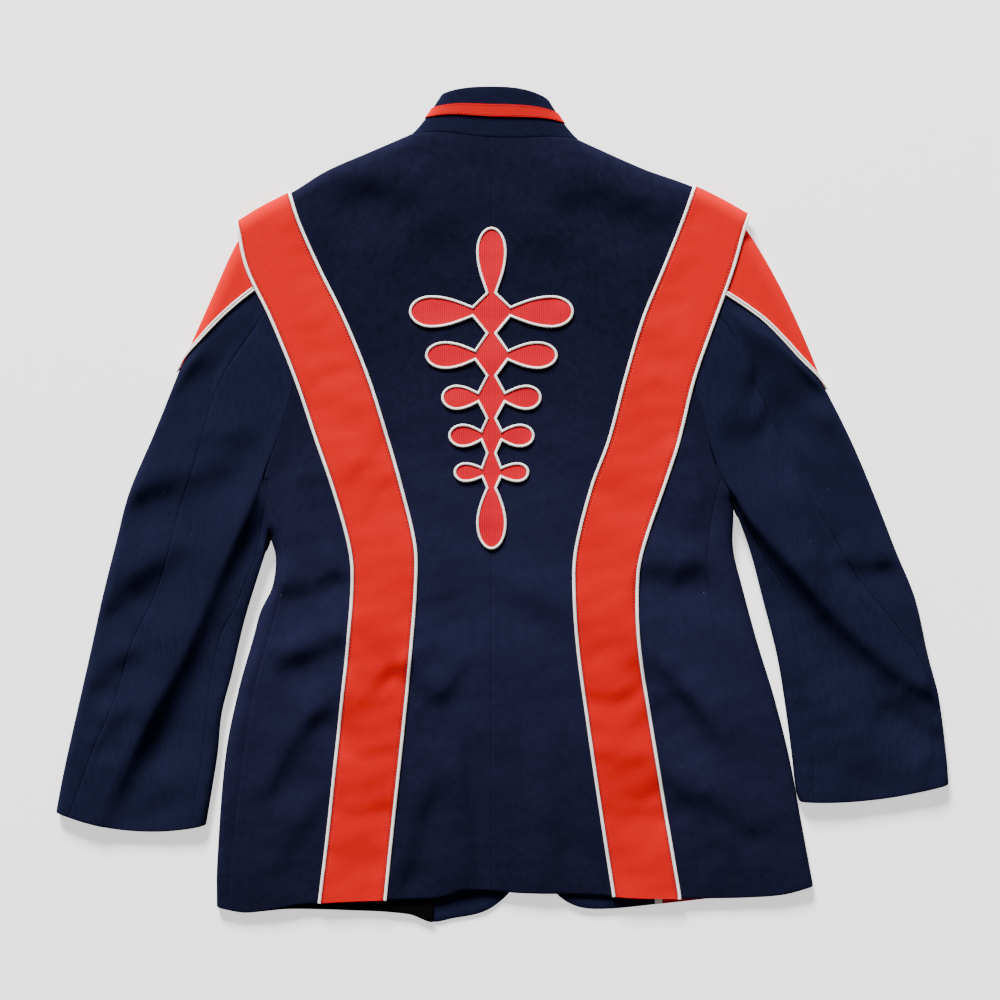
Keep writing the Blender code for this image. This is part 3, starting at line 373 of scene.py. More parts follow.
# Creases, each a soft step along (out, drop) points. The columns are: its height on each side of
# the line, its width to the top of the high side, the share of height and width that the high side keeps,
# how far the high and the low side fade, in widths, and the points. The high side is the upper or outer
# one, or the other one when the height is negative. A share below 1 makes a fold with one sharp side
CREASES = {
    "left": {
        "sleeve": (
            (8.8, 9.5, 0.75, 3, 1.3, ((222, 338), (236, 372), (261, 425), (284, 479),
              (306, 527), (333, 575), (357, 623), (382, 676))),
            (2.5, 13, 1, 1.2, 1.5, ((262, 330), (300, 346), (335, 358), (368, 370))),
            (3.2, 14, 1, 1.2, 1.4, ((308, 410), (340, 436), (366, 456), (396, 480))),
            (1.8, 11, 1, 1, 1.3, ((352, 512), (378, 532), (400, 552))),
            (1.7, 10, 1, 1.2, 1, ((362, 568), (378, 590), (392, 612))),
            (2.1, 13, 1, 0.9, 1.6, ((284, 236), (312, 252), (344, 272))),
            (1.2, 12, 1, 1.4, 1, ((296, 640), (330, 656), (356, 682))),
            (1.4, 12, 1, 1.3, 1.3, ((240, 300), (262, 306), (290, 298))),
        ),
        "body": (
            (2.2, 12, 1, 1.2, 1.4, ((146, 432), (178, 448), (214, 452))),
            (2.8, 12, 1, 1, 1.5, ((146, 500), (180, 516), (216, 528))),
            (4.2, 10, 0.9, 1.4, 1.1, ((158, 562), (178, 584), (202, 616), (222, 662))),
            (1.5, 12, 1, 1.5, 1.2, ((160, 650), (190, 690), (216, 742))),
            (0.39, 7, 1, 1.1, 1.5, ((106, 294), (126, 322), (148, 352))),
            (0.26, 6, 1, 1.3, 1.2, ((96, 332), (112, 352), (132, 380))),
            (0.33, 8, 1, 1.2, 1, ((146, 226), (176, 238), (208, 230))),
            (0.26, 6, 1, 1, 1.4, ((88, 560), (120, 566), (154, 556))),
            (0.26, 6, 1, 1.3, 1, ((94, 606), (126, 614), (162, 604))),
            (0.33, 7, 1, 1, 1.2, ((98, 664), (130, 674), (168, 666))),
            (0.2, 5, 1, 1.2, 1.4, ((104, 712), (140, 718), (168, 708))),
            (2.1, 12, 1, 1.2, 1.5, ((48, 562), (74, 544), (98, 524))),
            (1.4, 11, 1, 1, 1.4, ((36, 546), (56, 568), (76, 594))),
            (1.7, 8, 1, 1.4, 1.1, ((30, 600), (23, 680), (19, 752))),
            (2, 9, 1, 1.2, 1.3, ((58, 640), (74, 700), (92, 756))),
            (2.8, 18, 1, 1, 1.3, ((78, 66), (110, 52), (150, 44))),
            (1.4, 18, 1, 1.3, 1.2, ((30, 92), (58, 100), (84, 128))),
            (1.3, 16, 1, 1.4, 1, ((70, 470), (44, 500), (20, 512))),
            (-1.7, 12, 1, 1.2, 1.3, ((198, 318), (206, 372), (204, 430))),
        ),
    },
    "right": {
        "sleeve": (
            (9.8, 10.5, 0.75, 3, 1.3, ((230, 334), (253, 380), (285, 415), (331, 473),
              (366, 507), (400, 536), (444, 562))),
            (2.4, 16, 1, 1.1, 1.5, ((244, 294), (278, 282), (306, 288), (342, 308))),
            (-2.1, 7, 1, 1, 2, ((304, 330), (316, 360), (326, 400), (334, 428))),
            (2, 9, 1, 1.2, 1.6, ((342, 418), (362, 429), (384, 430), (402, 424))),
            (2, 12, 1, 1.2, 1, ((396, 560), (425, 580), (446, 598))),
            (-1.4, 6, 1, 1, 1.4, ((436, 540), (440, 600), (438, 642))),
            (4.4, 18, 1, 1.1, 1.4, ((258, 232), (284, 238), (316, 248), (342, 258))),
            (2.6, 16, 1, 1.2, 1.2, ((268, 266), (296, 268), (322, 276))),
            (1.4, 12, 1, 1.4, 1.1, ((314, 556), (345, 590), (352, 634))),
        ),
        "body": (
            (2.8, 14, 1, 1.1, 1.4, ((148, 430), (184, 438), (218, 426))),
            (5.2, 10, 0.9, 1.6, 1.1, ((156, 518), (178, 543), (204, 572), (226, 606))),
            (3.6, 11, 0.9, 1.4, 1.1, ((170, 632), (186, 652), (206, 678), (236, 714))),
            (1.8, 11, 1, 1.3, 1, ((196, 648), (232, 676), (272, 700))),
            (0.33, 6, 1, 1, 1.4, ((88, 550), (118, 560), (150, 550))),
            (0.33, 7, 1, 1.2, 1.2, ((96, 614), (126, 624), (158, 620))),
            (0.26, 6, 1, 1.4, 1, ((92, 582), (120, 592), (152, 584))),
            (0.26, 6, 1, 1, 1.3, ((108, 668), (140, 676), (174, 668))),
            (-1.4, 10, 1, 1.2, 1.3, ((60, 606), (67, 690), (69, 752))),
            (1.1, 10, 1, 1.3, 1.1, ((36, 590), (40, 680), (42, 752))),
            (1.3, 16, 1, 1.2, 1.3, ((20, 452), (52, 470), (84, 520))),
            (2.8, 19, 1, 1.1, 1.2, ((62, 66), (104, 58), (150, 76), (182, 92))),
            (1.3, 18, 1, 1.2, 1.4, ((24, 104), (56, 112), (90, 150))),
            (0.33, 8, 1, 1.3, 1, ((150, 240), (176, 250), (204, 246))),
            (-1.7, 12, 1, 1.2, 1.2, ((204, 296), (214, 340), (212, 392))),
        ),
    },
}

# Ridges of the hidden front, which only lift it off the surface: height, width and points
RIDGES = {
    "left": {
        "sleeve": (
            (1.6, 19, ((262, 360), (306, 450), (344, 560), (370, 640))),
            (1.1, 14, ((300, 260), (330, 350), (350, 430))),
        ),
        "body": (
            (1.3, 16, ((60, 240), (86, 330), (96, 430))),
            (1.5, 16, ((196, 470), (214, 540), (226, 620))),
            (1.1, 14, ((40, 480), (62, 560), (66, 650))),
            (1, 16, ((90, 130), (112, 180), (108, 240))),
        ),
    },
    "right": {
        "sleeve": (
            (1.6, 19, ((274, 350), (318, 430), (366, 520), (392, 600))),
            (1.1, 14, ((306, 250), (340, 340), (372, 410))),
        ),
        "body": (
            (1.2, 16, ((70, 220), (80, 310), (98, 410))),
            (1.6, 16, ((204, 440), (226, 520), (250, 610))),
            (1, 14, ((60, 500), (74, 580), (82, 660))),
            (1, 16, ((96, 120), (104, 170), (110, 230))),
        ),
    },
}
RIDGE_HEM = 690.0
RIDGE_FADE = 60.0

# How a crease fades at its ends, in parts of its length, and varies along it: a slow and a quick wave
CREASE_STARTS = -0.12
CREASE_ENDS = 0.82
CREASE_FADE = 0.3
UNEVEN = (0.22, 9, 0.1, 23)

# Where creases fade out: this far from the armhole, in a part of the rows below the junction, and in a
# part of the sleeve's length below its head
CREASE_CLEAR = 26.0
CREASE_ROWS = 0.03
CREASE_HEAD = 0.07

# Gentle unevenness of the whole top: how high, how long, and which way it runs
RIPPLES = ((0.5, 117, 20), (0.35, 71, 105), (0.2, 47, 160), (0.1, 25, 70))
WANDER = 0.8
WANDER_TURN = 0.37

# Puckers of the cloth between the ladder's loops, beside its spine: (out, drop, half length)
PUCKERS = ((15, 196, 14), (22, 198, 9), (14, 238, 13), (20, 240, 8), (13, 280, 12), (18, 279, 8),
           (12, 315, 10), (16, 150, 10), (24, 152, 8), (12, 350, 9))
PUCKER_DEPTH = 0.8
PUCKER_WIDTH = 2.2


def mix(a, b, part):
    return a + (b - a) * part


def ease(value):
    value = np.clip(value, 0.0, 1.0)
    return value * value * (3 - 2 * value)


def round_height(part):
    """Height of a quarter-round fold at a part of its width: 0 on the fold, 1 on the flat."""
    part = np.clip(part, 0.0, 1.0)
    return np.sqrt(1 - (1 - part) ** 2)


def spots(*values):
    """Points from their three coordinates, in the shape that these share."""
    return np.stack(np.broadcast_arrays(*values), axis=-1).astype(float)


def unit(vectors):
    length = np.linalg.norm(vectors, axis=-1, keepdims=True)
    return vectors / np.maximum(length, 1e-9)


def rounded(away, rise, face):
    """The normal of a quarter-round fold, from the way out of it and the rise there."""
    flat = np.sqrt(np.maximum(0.0, 1 - rise * rise))[..., None]
    return away * flat + spots(0 * rise, 0 * rise, face * rise)


def arrays(*values):
    """Numbers and lists of numbers as arrays of one shape."""
    return np.broadcast_arrays(*[np.asarray(value, float) for value in values])


def place(side, out, drop, z):
    return spots(CENTRE_BACK_X + SIGN[side] * out, BACK_NECK_Y - drop, z)


def beside(*pieces, axis=1):
    """Points and normals of several grids, put side by side, or below each other."""
    return [np.concatenate(grids, axis=axis) for grids in zip(*pieces)]


# Creases

def runs_of(line):
    return list(zip(line, line[1:]))


def nearest(runs, out, drop):
    """The run nearest to plan places: its distance, the way there, its course, and the length so far."""
    found = [np.full(np.shape(out), value) for value in (np.inf, 0.0, 0.0, 0.0, 0.0, 0.0)]
    passed = 0.0
    for k, (a, b) in enumerate(runs):
        course = (b[0] - a[0], b[1] - a[1])
        length = math.hypot(*course)
        part = ((out - a[0]) * course[0] + (drop - a[1]) * course[1]) / length ** 2
        on_run = np.clip(part, 0, 1)
        way = (a[0] + course[0] * on_run - out, a[1] + course[1] * on_run - drop)
        # The length runs on past both ends of the line, where a crease fades
        reached = np.clip(part, -np.inf if k == 0 else 0, np.inf if k == len(runs) - 1 else 1)
        here = (np.hypot(*way), *way, *course, passed + reached * length)
        closer = here[0] < found[0]
        found = [np.where(closer, new, old) for new, old in zip(here, found)]
        passed += length
    return found


def crease_height(height, width, *shape, out, drop):
    """Height of one crease over plan places, uneven along it and faded at its ends. A ridge has no shape."""
    *shape, line = shape
    runs = runs_of(line)
    gap, way_out, way_drop, run_out, run_drop, along = nearest(runs, out, drop)
    along = along / sum(math.dist(a, b) for a, b in runs)
    fade = (ease((along - CREASE_STARTS) / CREASE_FADE)
            * (1 - ease((along - CREASE_ENDS) / CREASE_FADE)))
    slow, slow_turns, quick, quick_turns = UNEVEN
    uneven = 1 + slow * np.sin(along * slow_turns + height * 3) + quick * np.sin(along * quick_turns + width)
    if not shape:
        return height * np.exp(-(gap / width) ** 2) * fade * uneven
    # A soft step, or with keep below 1 a fold: tight on its high side, and long on its low side
    keep, high_tail, low_tail = shape
    high = way_drop * run_out - way_out * run_drop
    share = gap / (width * np.where(high > 0, keep, 1.0))
    past_top = np.exp(-((share - 1) / np.where(high > 0, high_tail, low_tail)) ** 2 / 2)
    if keep < 1:
        rise = 2 / math.pi * np.sin(math.pi / 2 * np.minimum(share, 1)) * np.where(share < 1, 1, past_top)
        fall = (1 - np.exp(-share)) * np.exp(-(share / (4 * low_tail)) ** 2)
        step = np.where(high > 0, rise * keep, -fall)
    else:
        near_line = share * np.exp((1 - share ** 2) / 2)
        step = np.sign(high) * np.where(share < 1, near_line, past_top)
    return height * step * fade * uneven


def crease_field(side, kind, out, drop, face):
    """Height of all creases of one kind, body or sleeve, over plan places."""
    out, drop = np.broadcast_arrays(out, drop)
    rows = (CREASES if face == TOP else RIDGES)[side][kind]
    total = sum(crease_height(*row, out=out, drop=drop) for row in rows)
    if face == UNDER:
        return np.maximum(total, 0) * (1 - ease((drop - RIDGE_HEM + RIDGE_FADE) / RIDGE_FADE))
    x = SIGN[side] * out
    for height, length, degrees in RIPPLES:
        way = math.radians(degrees)
        turn = 2 * math.pi / length
        wander = WANDER * np.sin(turn * WANDER_TURN * (x - drop) + degrees)
        total = total + height * np.sin(turn * (x * math.cos(way) + drop * math.sin(way)) + wander + length)
    if kind == "body":
        for pucker_out, pucker_drop, half in PUCKERS:
            bell = np.exp(-((out - pucker_out) / PUCKER_WIDTH) ** 2 - ((drop - pucker_drop) / half) ** 2)
            total = total - PUCKER_DEPTH * bell
    return total


# The body

def neck_width(side):
    return NECK[side].places[-1]


def top_drop(side, out, face):
    """Drop of the top edge: the neck seam, then the shoulder and the wing's fold."""
    neck = neck_width(side)
    if face == TOP:
        inner = NECK[side].at("drop", out)
    else:
        part = np.abs(out) / neck
        inner = mix(FRONT_NECK_DROP, SHOULDER[side].at("drop", neck), part ** FRONT_NECK_CURVE)
    return np.where(out >= neck, SHOULDER[side].at("drop", out), inner)


def row_drop(side, out, v, face):
    hem = (HEM if face == TOP else FRONT_HEM)[side].at("drop", out)
    return mix(top_drop(side, out, face), hem, v)


def row_at(side, out, drop):
    top = top_drop(side, out, TOP)
    return (drop - top) / (HEM[side].at("drop", out) - top)


def out_at(side, v, face, table, column):
    """Where a line that a table gives by its drop crosses a row."""
    out = table[side].columns[column][0] + 0 * v
    for _ in range(CROSSING_ROUNDS):
        out = table[side].at(column, row_drop(side, out, v, face))
    return out


def body_height(v):
    return mix(CHEST_HEIGHT, HEM_HEIGHT, ease((v - TAPER_FROM) / (1 - TAPER_FROM)))


def body_knots(side):
    """The rows at which the cap's seam, the elbow seam and the side seam meet the armhole."""
    cap_row = row_at(side, CAP_SEAM[side].at(1)[0], CAP_SEAM_DROP[side])
    elbow_row = row_at(side, ELBOW_SEAM[side].at(0)[0], ELBOW_SEAM_DROP[side])
    seam_row = row_at(side, ARMHOLE[side].at("out", SIDE_SEAM_DROP[side]), SIDE_SEAM_DROP[side])
    junction_row = row_at(side, ARMHOLE[side].columns["out"][-1], JUNCTION_DROP[side])
    steps = (CAP_STEPS, ELBOW_COLUMN, SEAM_START, JUNCTION, JUNCTION + 1)
    return steps, (cap_row, elbow_row, seam_row, junction_row, 1.0)


def row_v(side, k):
    """The row of a step k, whole or not: growing steps over the cap, then even ones."""
    steps, rows = KNOTS[side]
    over_cap = rows[0] * (np.minimum(k, CAP_STEPS) / CAP_STEPS) ** STEP_GROWTH
    return np.where(k <= CAP_STEPS, over_cap, np.interp(k, steps, rows))


def junction_point(side):
    return ARMHOLE[side].columns["out"][-1], JUNCTION_DROP[side]


def centre_front(side, drop):
    slant = CENTRE_FRONT_SLANT * np.clip((drop - FRONT_NECK_DROP) / FRONT_LENGTH, 0, 1)
    return SIGN[side] * (CENTRE_FRONT_OUT + slant)


def lap_lift(side, out, drop):
    """The right front lies over the left one where they lap at the centre front."""
    if side == "left":
        return 0.0
    past = out - centre_front(side, drop) - LAP
    return LAP_LIFT * (1 - ease((past - LAP_FALL_FROM) / LAP_FALL))


def band_lift(side, out, drop):
    """The front panel drapes over the band that lies under it."""
    inner = FRONT_BAND[side].at("inner", drop)
    outer = FRONT_BAND[side].at("outer", drop)
    rise = ease((out - inner + BAND_RISE_FROM) / BAND_RISE)
    fall = 1 - ease((out - outer - BAND_FALL_FROM) / BAND_FALL)
    return BAND_LIFT * np.minimum(rise, fall)


def crease_share(side, out, v):
    """How much of the body's creases there is: none at the armhole, where the sleeve begins."""
    junction = KNOTS[side][1][3]
    edge = out_at(side, np.minimum(v, junction), TOP, ARMHOLE, "out")
    inside = (edge - out) / CREASE_CLEAR
    return np.where(v < junction, ease(inside), ease((v - junction) / CREASE_ROWS + inside))


def body_point(side, out, v, face, depth=0.0):
    """Points of the back or front panel, below its outer face by depth, or above it if negative."""
    out, v, depth = arrays(out, v, depth)
    drop = row_drop(side, out, v, face)
    height = body_height(v)
    fold_round = FOLD_ROUND * height
    neck = neck_width(side)
    near_neck = np.minimum(np.abs(out) / neck, 1)
    neck_part = (1 - near_neck ** COLLAR_CURVE) ** (1 / COLLAR_CURVE)
    length = HEM[side].at("drop", out) - top_drop(side, out, TOP)
    from_top = v * length * SHOULDER_SLOPE / SHOULDER_ROUND
    above = v < KNOTS[side][1][3] - 1e-6
    end_out, end_drop = junction_point(side)
    reach_out = np.where(above, end_out, out_at(side, v, face, SIDE, "fold"))
    reach_drop = np.where(above, end_drop, drop)
    from_side = np.hypot(reach_out - out, reach_drop - drop) / fold_round
    shoulder = from_top <= from_side
    over_top = neck_part + (1 - neck_part) * round_height(from_top)
    rise = np.where(shoulder, over_top, round_height(from_side))
    lean = np.where(out >= neck, SHOULDER_LEAN, 0.0) * SIGN[side]
    away_top = unit(spots(lean, 1.0 + 0 * lean, 0 * lean))
    to_side = spots(SIGN[side] * (reach_out - out), drop - reach_drop, 0 * out)
    short = np.linalg.norm(to_side, axis=-1, keepdims=True) < 1e-6
    to_side = np.where(short, np.array((SIGN[side], 0.0, 0.0)), unit(to_side))
    away = np.where(shoulder[..., None], away_top, to_side)
    z = height / 2 * (1 + face * rise)
    if face == UNDER:
        neck_rise = NECK_LIFT * neck_part * (1 - ease(v / NECK_LIFT_ROWS))
        z = z + np.maximum(band_lift(side, out, drop), lap_lift(side, out, drop)) * rise + neck_rise
    share = crease_share(side, out, v) * rise * ease(from_top / 2)
    z = z + crease_field(side, "body", out, drop, face) * share
    normal = rounded(away, rise, face)
    return place(side, out, drop, z) - normal * depth[..., None], normal


def fold_margin(v):
    return FOLD_ROUND * body_height(v) * (1 - math.cos(FOLD_STEP))


def armhole_out(side, k, face):
    v = row_v(side, k)
    above = out_at(side, v, face, ARMHOLE, "out")
    below = junction_point(side)[0] - fold_margin(v)
    return np.where(k >= JUNCTION - 1e-9, below, above)


def armhole_point(side, k, face):
    k = np.asarray(k, float)
    return body_point(side, armhole_out(side, k, face), row_v(side, k), face)


# The sleeve

def fold_rise(side, out, drop, height, face):
    """Rise and normal of the sleeve's surface beside its outer or inner fold."""
    gap, way_out, way_drop, run_out, run_drop, _ = nearest(FOLDS[side], out, drop)
    on_fold = gap < ON_FOLD
    way_out = np.where(on_fold, run_drop, way_out)
    way_drop = np.where(on_fold, -run_out, way_drop)
    rise = round_height(gap / (FOLD_ROUND * height))
    away = unit(spots(SIGN[side] * way_out, -way_drop, 0 * way_out))
    return rise, rounded(away, rise, face)


def cap_seam_point(side, part, face):
    out, drop = CAP_SEAM[side].at(np.asarray(part, float))
    rise, normal = fold_rise(side, out, drop, CHEST_HEIGHT, face)
    z = CHEST_HEIGHT / 2 * (1 + face * rise)
    if face == UNDER:
        z = z + BAND_LIFT * rise
    return place(side, out, drop, z), normal


def head_point(side, k, face):
    """The sleeve's upper edge: the cap's seam from the point, then the armhole to the junction."""
    k = np.asarray(k, float)
    seam, seam_normal = cap_seam_point(side, (np.minimum(k, CAP_STEPS) / CAP_STEPS) ** STEP_GROWTH, face)
    arm, arm_normal = armhole_point(side, np.maximum(k, CAP_STEPS), face)
    below = (k >= CAP_STEPS)[..., None]
    return np.where(below, arm, seam), np.where(below, arm_normal, seam_normal)


def sleeve_plan(side, k, part):
    """Plan places of sleeve columns at parts of its length, between the sleeve's four lines."""
    outer = OUTER_EDGE[side].at(part)
    elbow = ELBOW_SEAM[side].at(part)
    forearm = FOREARM_SEAM[side].at(part)
    inner = INNER_EDGE[side].at(part)
    first = (np.minimum(k, ELBOW_COLUMN) / ELBOW_COLUMN) ** STEP_GROWTH
    second = np.clip((k - ELBOW_COLUMN) / (FOREARM_COLUMN - ELBOW_COLUMN), 0, 1)
    third = np.clip((k - FOREARM_COLUMN) / (JUNCTION - FOREARM_COLUMN), 0, 1)
    plan = []
    for a, b, c, d in zip(outer, elbow, forearm, inner):
        here = np.where(k <= ELBOW_COLUMN, mix(a, b, first), mix(b, c, second))
        plan.append(np.where(k > FOREARM_COLUMN, mix(c, d, third), here))
    return plan


def sleeve_point(side, k, part, face):
    """Points of the sleeve at step k across it, from its outer edge, and at a part of its length."""
    k, part = arrays(k, part)
    head, head_normal = head_point(side, k, face)
    out, drop = sleeve_plan(side, k, part)
    start_out, start_drop = sleeve_plan(side, k, 0 * part)
    start = place(side, start_out, start_drop, 0)
    stray = (head - start) * (1 - part[..., None]) ** HEAD_STRAY_POWER
    stray[..., 2] = 0
    outer = OUTER_EDGE[side].at(part)
    inner = INNER_EDGE[side].at(part)
    across = np.hypot(out - outer[0], drop - outer[1]) / np.hypot(outer[0] - inner[0], outer[1] - inner[1])
    across = np.clip(across, 0, 1)
    bow = CUFF_BOW[side] * part ** CUFF_BOW_POWER * 4 * across * (1 - across) * CUFF_BOW_SHARE
    height = SLEEVE.at("height", part)
    rise, normal = fold_rise(side, out, drop, height, face)
    last = k >= JUNCTION - 1e-9
    step_rise = math.sin(FOLD_STEP)
    rise = np.where(last, np.maximum(rise, step_rise), rise)
    turned = normal * math.cos(FOLD_STEP) + np.array((0, 0, face * step_rise))
    normal = np.where(last[..., None], turned, normal)
    lift = 0
    if face == UNDER:
        head_lift = np.clip(head[..., 2] - CHEST_HEIGHT / 2 * (1 + head_normal[..., 2]), 0, BAND_LIFT)
        lift = head_lift * rise * (1 - ease((part - HEAD_LIFT_FROM) / HEAD_BLEND))
        lift = np.where((k > 0) & ~last, lift, 0)
    blend = ease(part / HEAD_BLEND)
    z = mix(head[..., 2], height / 2 * (1 + face * rise) + lift, blend)
    share = ease(part / CREASE_HEAD) * rise
    z = z + crease_field(side, "sleeve", out, drop + bow, face) * share
    normal = unit(mix(head_normal, normal, blend[..., None]))
    spot = place(side, out, drop + bow, z) + stray
    at_head = (part == 0)[..., None]
    return np.where(at_head, head, spot), np.where(at_head, head_normal, normal)


def cap_point(side, k, b, face):
    """The cap between the armhole, b = 0, and its seam, b = 1, at step k from the outer edge."""
    k, b = arrays(k, b)
    at_body, body_normal = armhole_point(side, k, face)
    at_seam, seam_normal = head_point(side, k, face)
    share = b[..., None]
    spot = mix(at_body, at_seam, share)
    edge = place(side, *CAP_EDGE[side].at(b), 0)
    first = armhole_point(side, 0 * k, face)[0]
    last = head_point(side, 0 * k, face)[0]
    shift = (edge - mix(first, last, share)) * (1 - k[..., None] / CAP_STEPS) ** 2
    shift[..., 2] = 0
    spot = spot + shift
    normal = unit(mix(body_normal, seam_normal, share))
    out = (spot[..., 0] - CENTRE_BACK_X) * SIGN[side]
    drop = BACK_NECK_Y - spot[..., 1]
    rise, fold_normal = fold_rise(side, out, drop, CHEST_HEIGHT, face)
    lift = BAND_LIFT * rise if face == UNDER else 0
    inside = (b > 0) & (b < 1) & (k > 0)
    part = ease(b * 2)
    folded = mix(spot[..., 2], CHEST_HEIGHT / 2 * (1 + face * rise) + lift, part)
    spot[..., 2] = np.where(inside, folded, spot[..., 2])
    return spot, np.where(inside[..., None], unit(mix(normal, fold_normal, part[..., None])), normal)


def fold_runs(side):
    """The sleeve's folds in plan: the outer one downwards, and the inner one's runs turned upwards."""
    parts = [k / FOLD_LINE_STEPS for k in range(FOLD_LINE_STEPS + 1)]
    outer = [CAP_EDGE[side].at(part) for part in parts] + [OUTER_EDGE[side].at(part) for part in parts[1:]]
    inner = [INNER_EDGE[side].at(part) for part in parts]
    return runs_of(outer) + [(b, a) for a, b in runs_of(inner)]


FOLDS = {side: fold_runs(side) for side in SIGN}
KNOTS = {side: body_knots(side) for side in SIGN}


# The collar

def collar_point(side, out, face, h, depth):
    """Points of the stand collar at the height h between its seam, 0, and its top edge, 1."""
    neck = neck_width(side)
    share = np.abs(out) / neck
    rise = (1 - np.minimum(share, 1) ** COLLAR_CURVE) ** (1 / COLLAR_CURVE)
    seam_drop = top_drop(side, out, face)
    half, corner = COLLAR_TOP[side]
    middle = COLLAR_TOP_DROP if face == TOP else FRONT_NECK_DROP - COLLAR_DEPTH
    top_edge = mix(middle, corner, share ** FRONT_NECK_CURVE)
    height = CHEST_HEIGHT + COLLAR_RISE * h
    z = CHEST_HEIGHT / 2 + height / 2 * face * rise + COLLAR_RISE / 2 * h
    if face == UNDER:
        z = z + NECK_LIFT * rise
    narrow = mix(out, out * half / neck, h ** COLLAR_TAPER)
    sideways = SIGN[side] * np.copysign(np.sqrt(np.maximum(0.0, 1 - rise * rise)), out)
    normal = spots(sideways, 0 * rise, face * rise + 0 * h)
    seam_gap = 2 * CLOSED_GAP if face == TOP else 3 * SEAM_GAP
    return place(side, narrow, mix(seam_drop - seam_gap, top_edge, h), z) - normal * depth, normal


def collar_rows(heights, depth):
    """Rows of collar points round the neck, from the centre front over both folds, for each height."""
    quarter = np.sin(np.radians(np.linspace(0, 90, COLLAR_COLUMNS))) ** (2 / COLLAR_CURVE)
    quarters = []
    for side, face, way in (("right", UNDER, 1), ("right", TOP, -1), ("left", TOP, 1), ("left", UNDER, -1)):
        outs = neck_width(side) * quarter
        if face == UNDER:
            start = float(centre_front(side, FRONT_NECK_DROP)) + SEAM_GAP / 2
            outs = np.concatenate([[start], outs[outs > start + CLOSEST_COLUMN]])
        outs = outs[::way][1 if quarters else 0:]
        quarters.append(collar_point(side, outs, face, np.array(heights)[:, None], depth))
    return beside(*quarters)


# Making the pieces, in metres

def length_of(line):
    """Running length along a line of points."""
    return np.concatenate([[0], np.cumsum(np.linalg.norm(np.diff(line, axis=0), axis=-1))])


def lengths_along(points, axis):
    """Running length from the first point, along the rows (axis 1) or the columns (axis 0)."""
    steps = np.linalg.norm(np.diff(points, axis=axis), axis=-1)
    start = np.zeros_like(np.take(steps, [0], axis=axis))
    return np.concatenate([start, np.cumsum(steps, axis=axis)], axis=axis)


def roll_edges(points, normals, sides):
    """Turn a piece down beside its seams, and stop it half a seam gap short of them."""
    depth = np.zeros(points.shape[:2])
    shift = np.zeros(points.shape)
    for name in sides.split():
        axis = 0 if name.endswith("row") else 1
        run = lengths_along(points, axis)
        end = name.startswith("last")
        if end:
            run = np.take(run, [-1], axis=axis) - run
        depth = np.maximum(depth, ROLL * (1 - np.clip(run / ROLL_WIDTH, 0, 1)) ** 2)
        edge = [slice(None)] * 2
        edge[axis] = -1 if end else 0
        inside = [slice(None)] * 2
        inside[axis] = -2 if end else 1
        way = points[tuple(inside)] - points[tuple(edge)]
        along = unit(np.gradient(points[tuple(edge)], axis=0))
        way = unit(way - along * np.sum(way * along, axis=-1, keepdims=True))
        shift[tuple(edge)] += way * CLOSED_GAP
    return points + shift - normals * depth[..., None]


def link(mesh, name, finish, node=None):
    """A piece of a finish that stands for a node of the frame, or for none."""
    piece = bpy.data.objects.new(name, mesh)
    bpy.context.scene.collection.objects.link(piece)
    mesh.materials.append(material_named(finish))
    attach(piece, "root")
    if node:
        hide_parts(node)
    return piece


def grid_place(vert):
    return round(vert.co.y, 5), round(vert.co.x, 5)


def numbered_grid(columns, rows):
    """A bmesh grid whose vertices carry their number, row by row."""
    bm = bmesh.new()
    bmesh.ops.create_grid(bm, x_segments=columns - 1, y_segments=rows - 1, size=1)
    order = bm.verts.layers.int.new("order")
    for k, vert in enumerate(sorted(bm.verts, key=grid_place)):
        vert[order] = k
    return bm, order


def smooth(mesh, sharp):
    mesh.shade_smooth()
    mesh.set_sharp_from_angle(angle=math.radians(sharp))


def shape_mesh(bm, name, places, uv, sharp, closed_with=0):
    """The mesh of a numbered bmesh, moved to its places, with its own cloth map in metres.

    A tube's seam is merged, and its open ends are closed with faces of closed_with sides.
    """
    mesh = bpy.data.meshes.new(name)
    bm.to_mesh(mesh)
    bm.free()
    order = np.empty(len(mesh.vertices), dtype=np.int32)
    mesh.attributes["order"].data.foreach_get("value", order)
    mesh.vertices.foreach_set("co", (places[order] * MM).astype(np.float32).ravel())
    corners = np.empty(len(mesh.loops), dtype=np.int32)
    mesh.loops.foreach_get("vertex_index", corners)
    layer = mesh.uv_layers.new(name="cloth")
    layer.data.foreach_set("uv", (uv[order[corners]] * MM).astype(np.float32).ravel())
    mesh.attributes.remove(mesh.attributes["order"])
    finished = bmesh.new()
    finished.from_mesh(mesh)
    if closed_with:
        bmesh.ops.remove_doubles(finished, verts=finished.verts, dist=1e-6)
        ends = [edge for edge in finished.edges if edge.is_boundary]
        bmesh.ops.holes_fill(finished, edges=ends, sides=closed_with)
    bmesh.ops.recalc_face_normals(finished, faces=finished.faces)
    finished.to_mesh(mesh)
    finished.free()
    smooth(mesh, sharp)
    return mesh


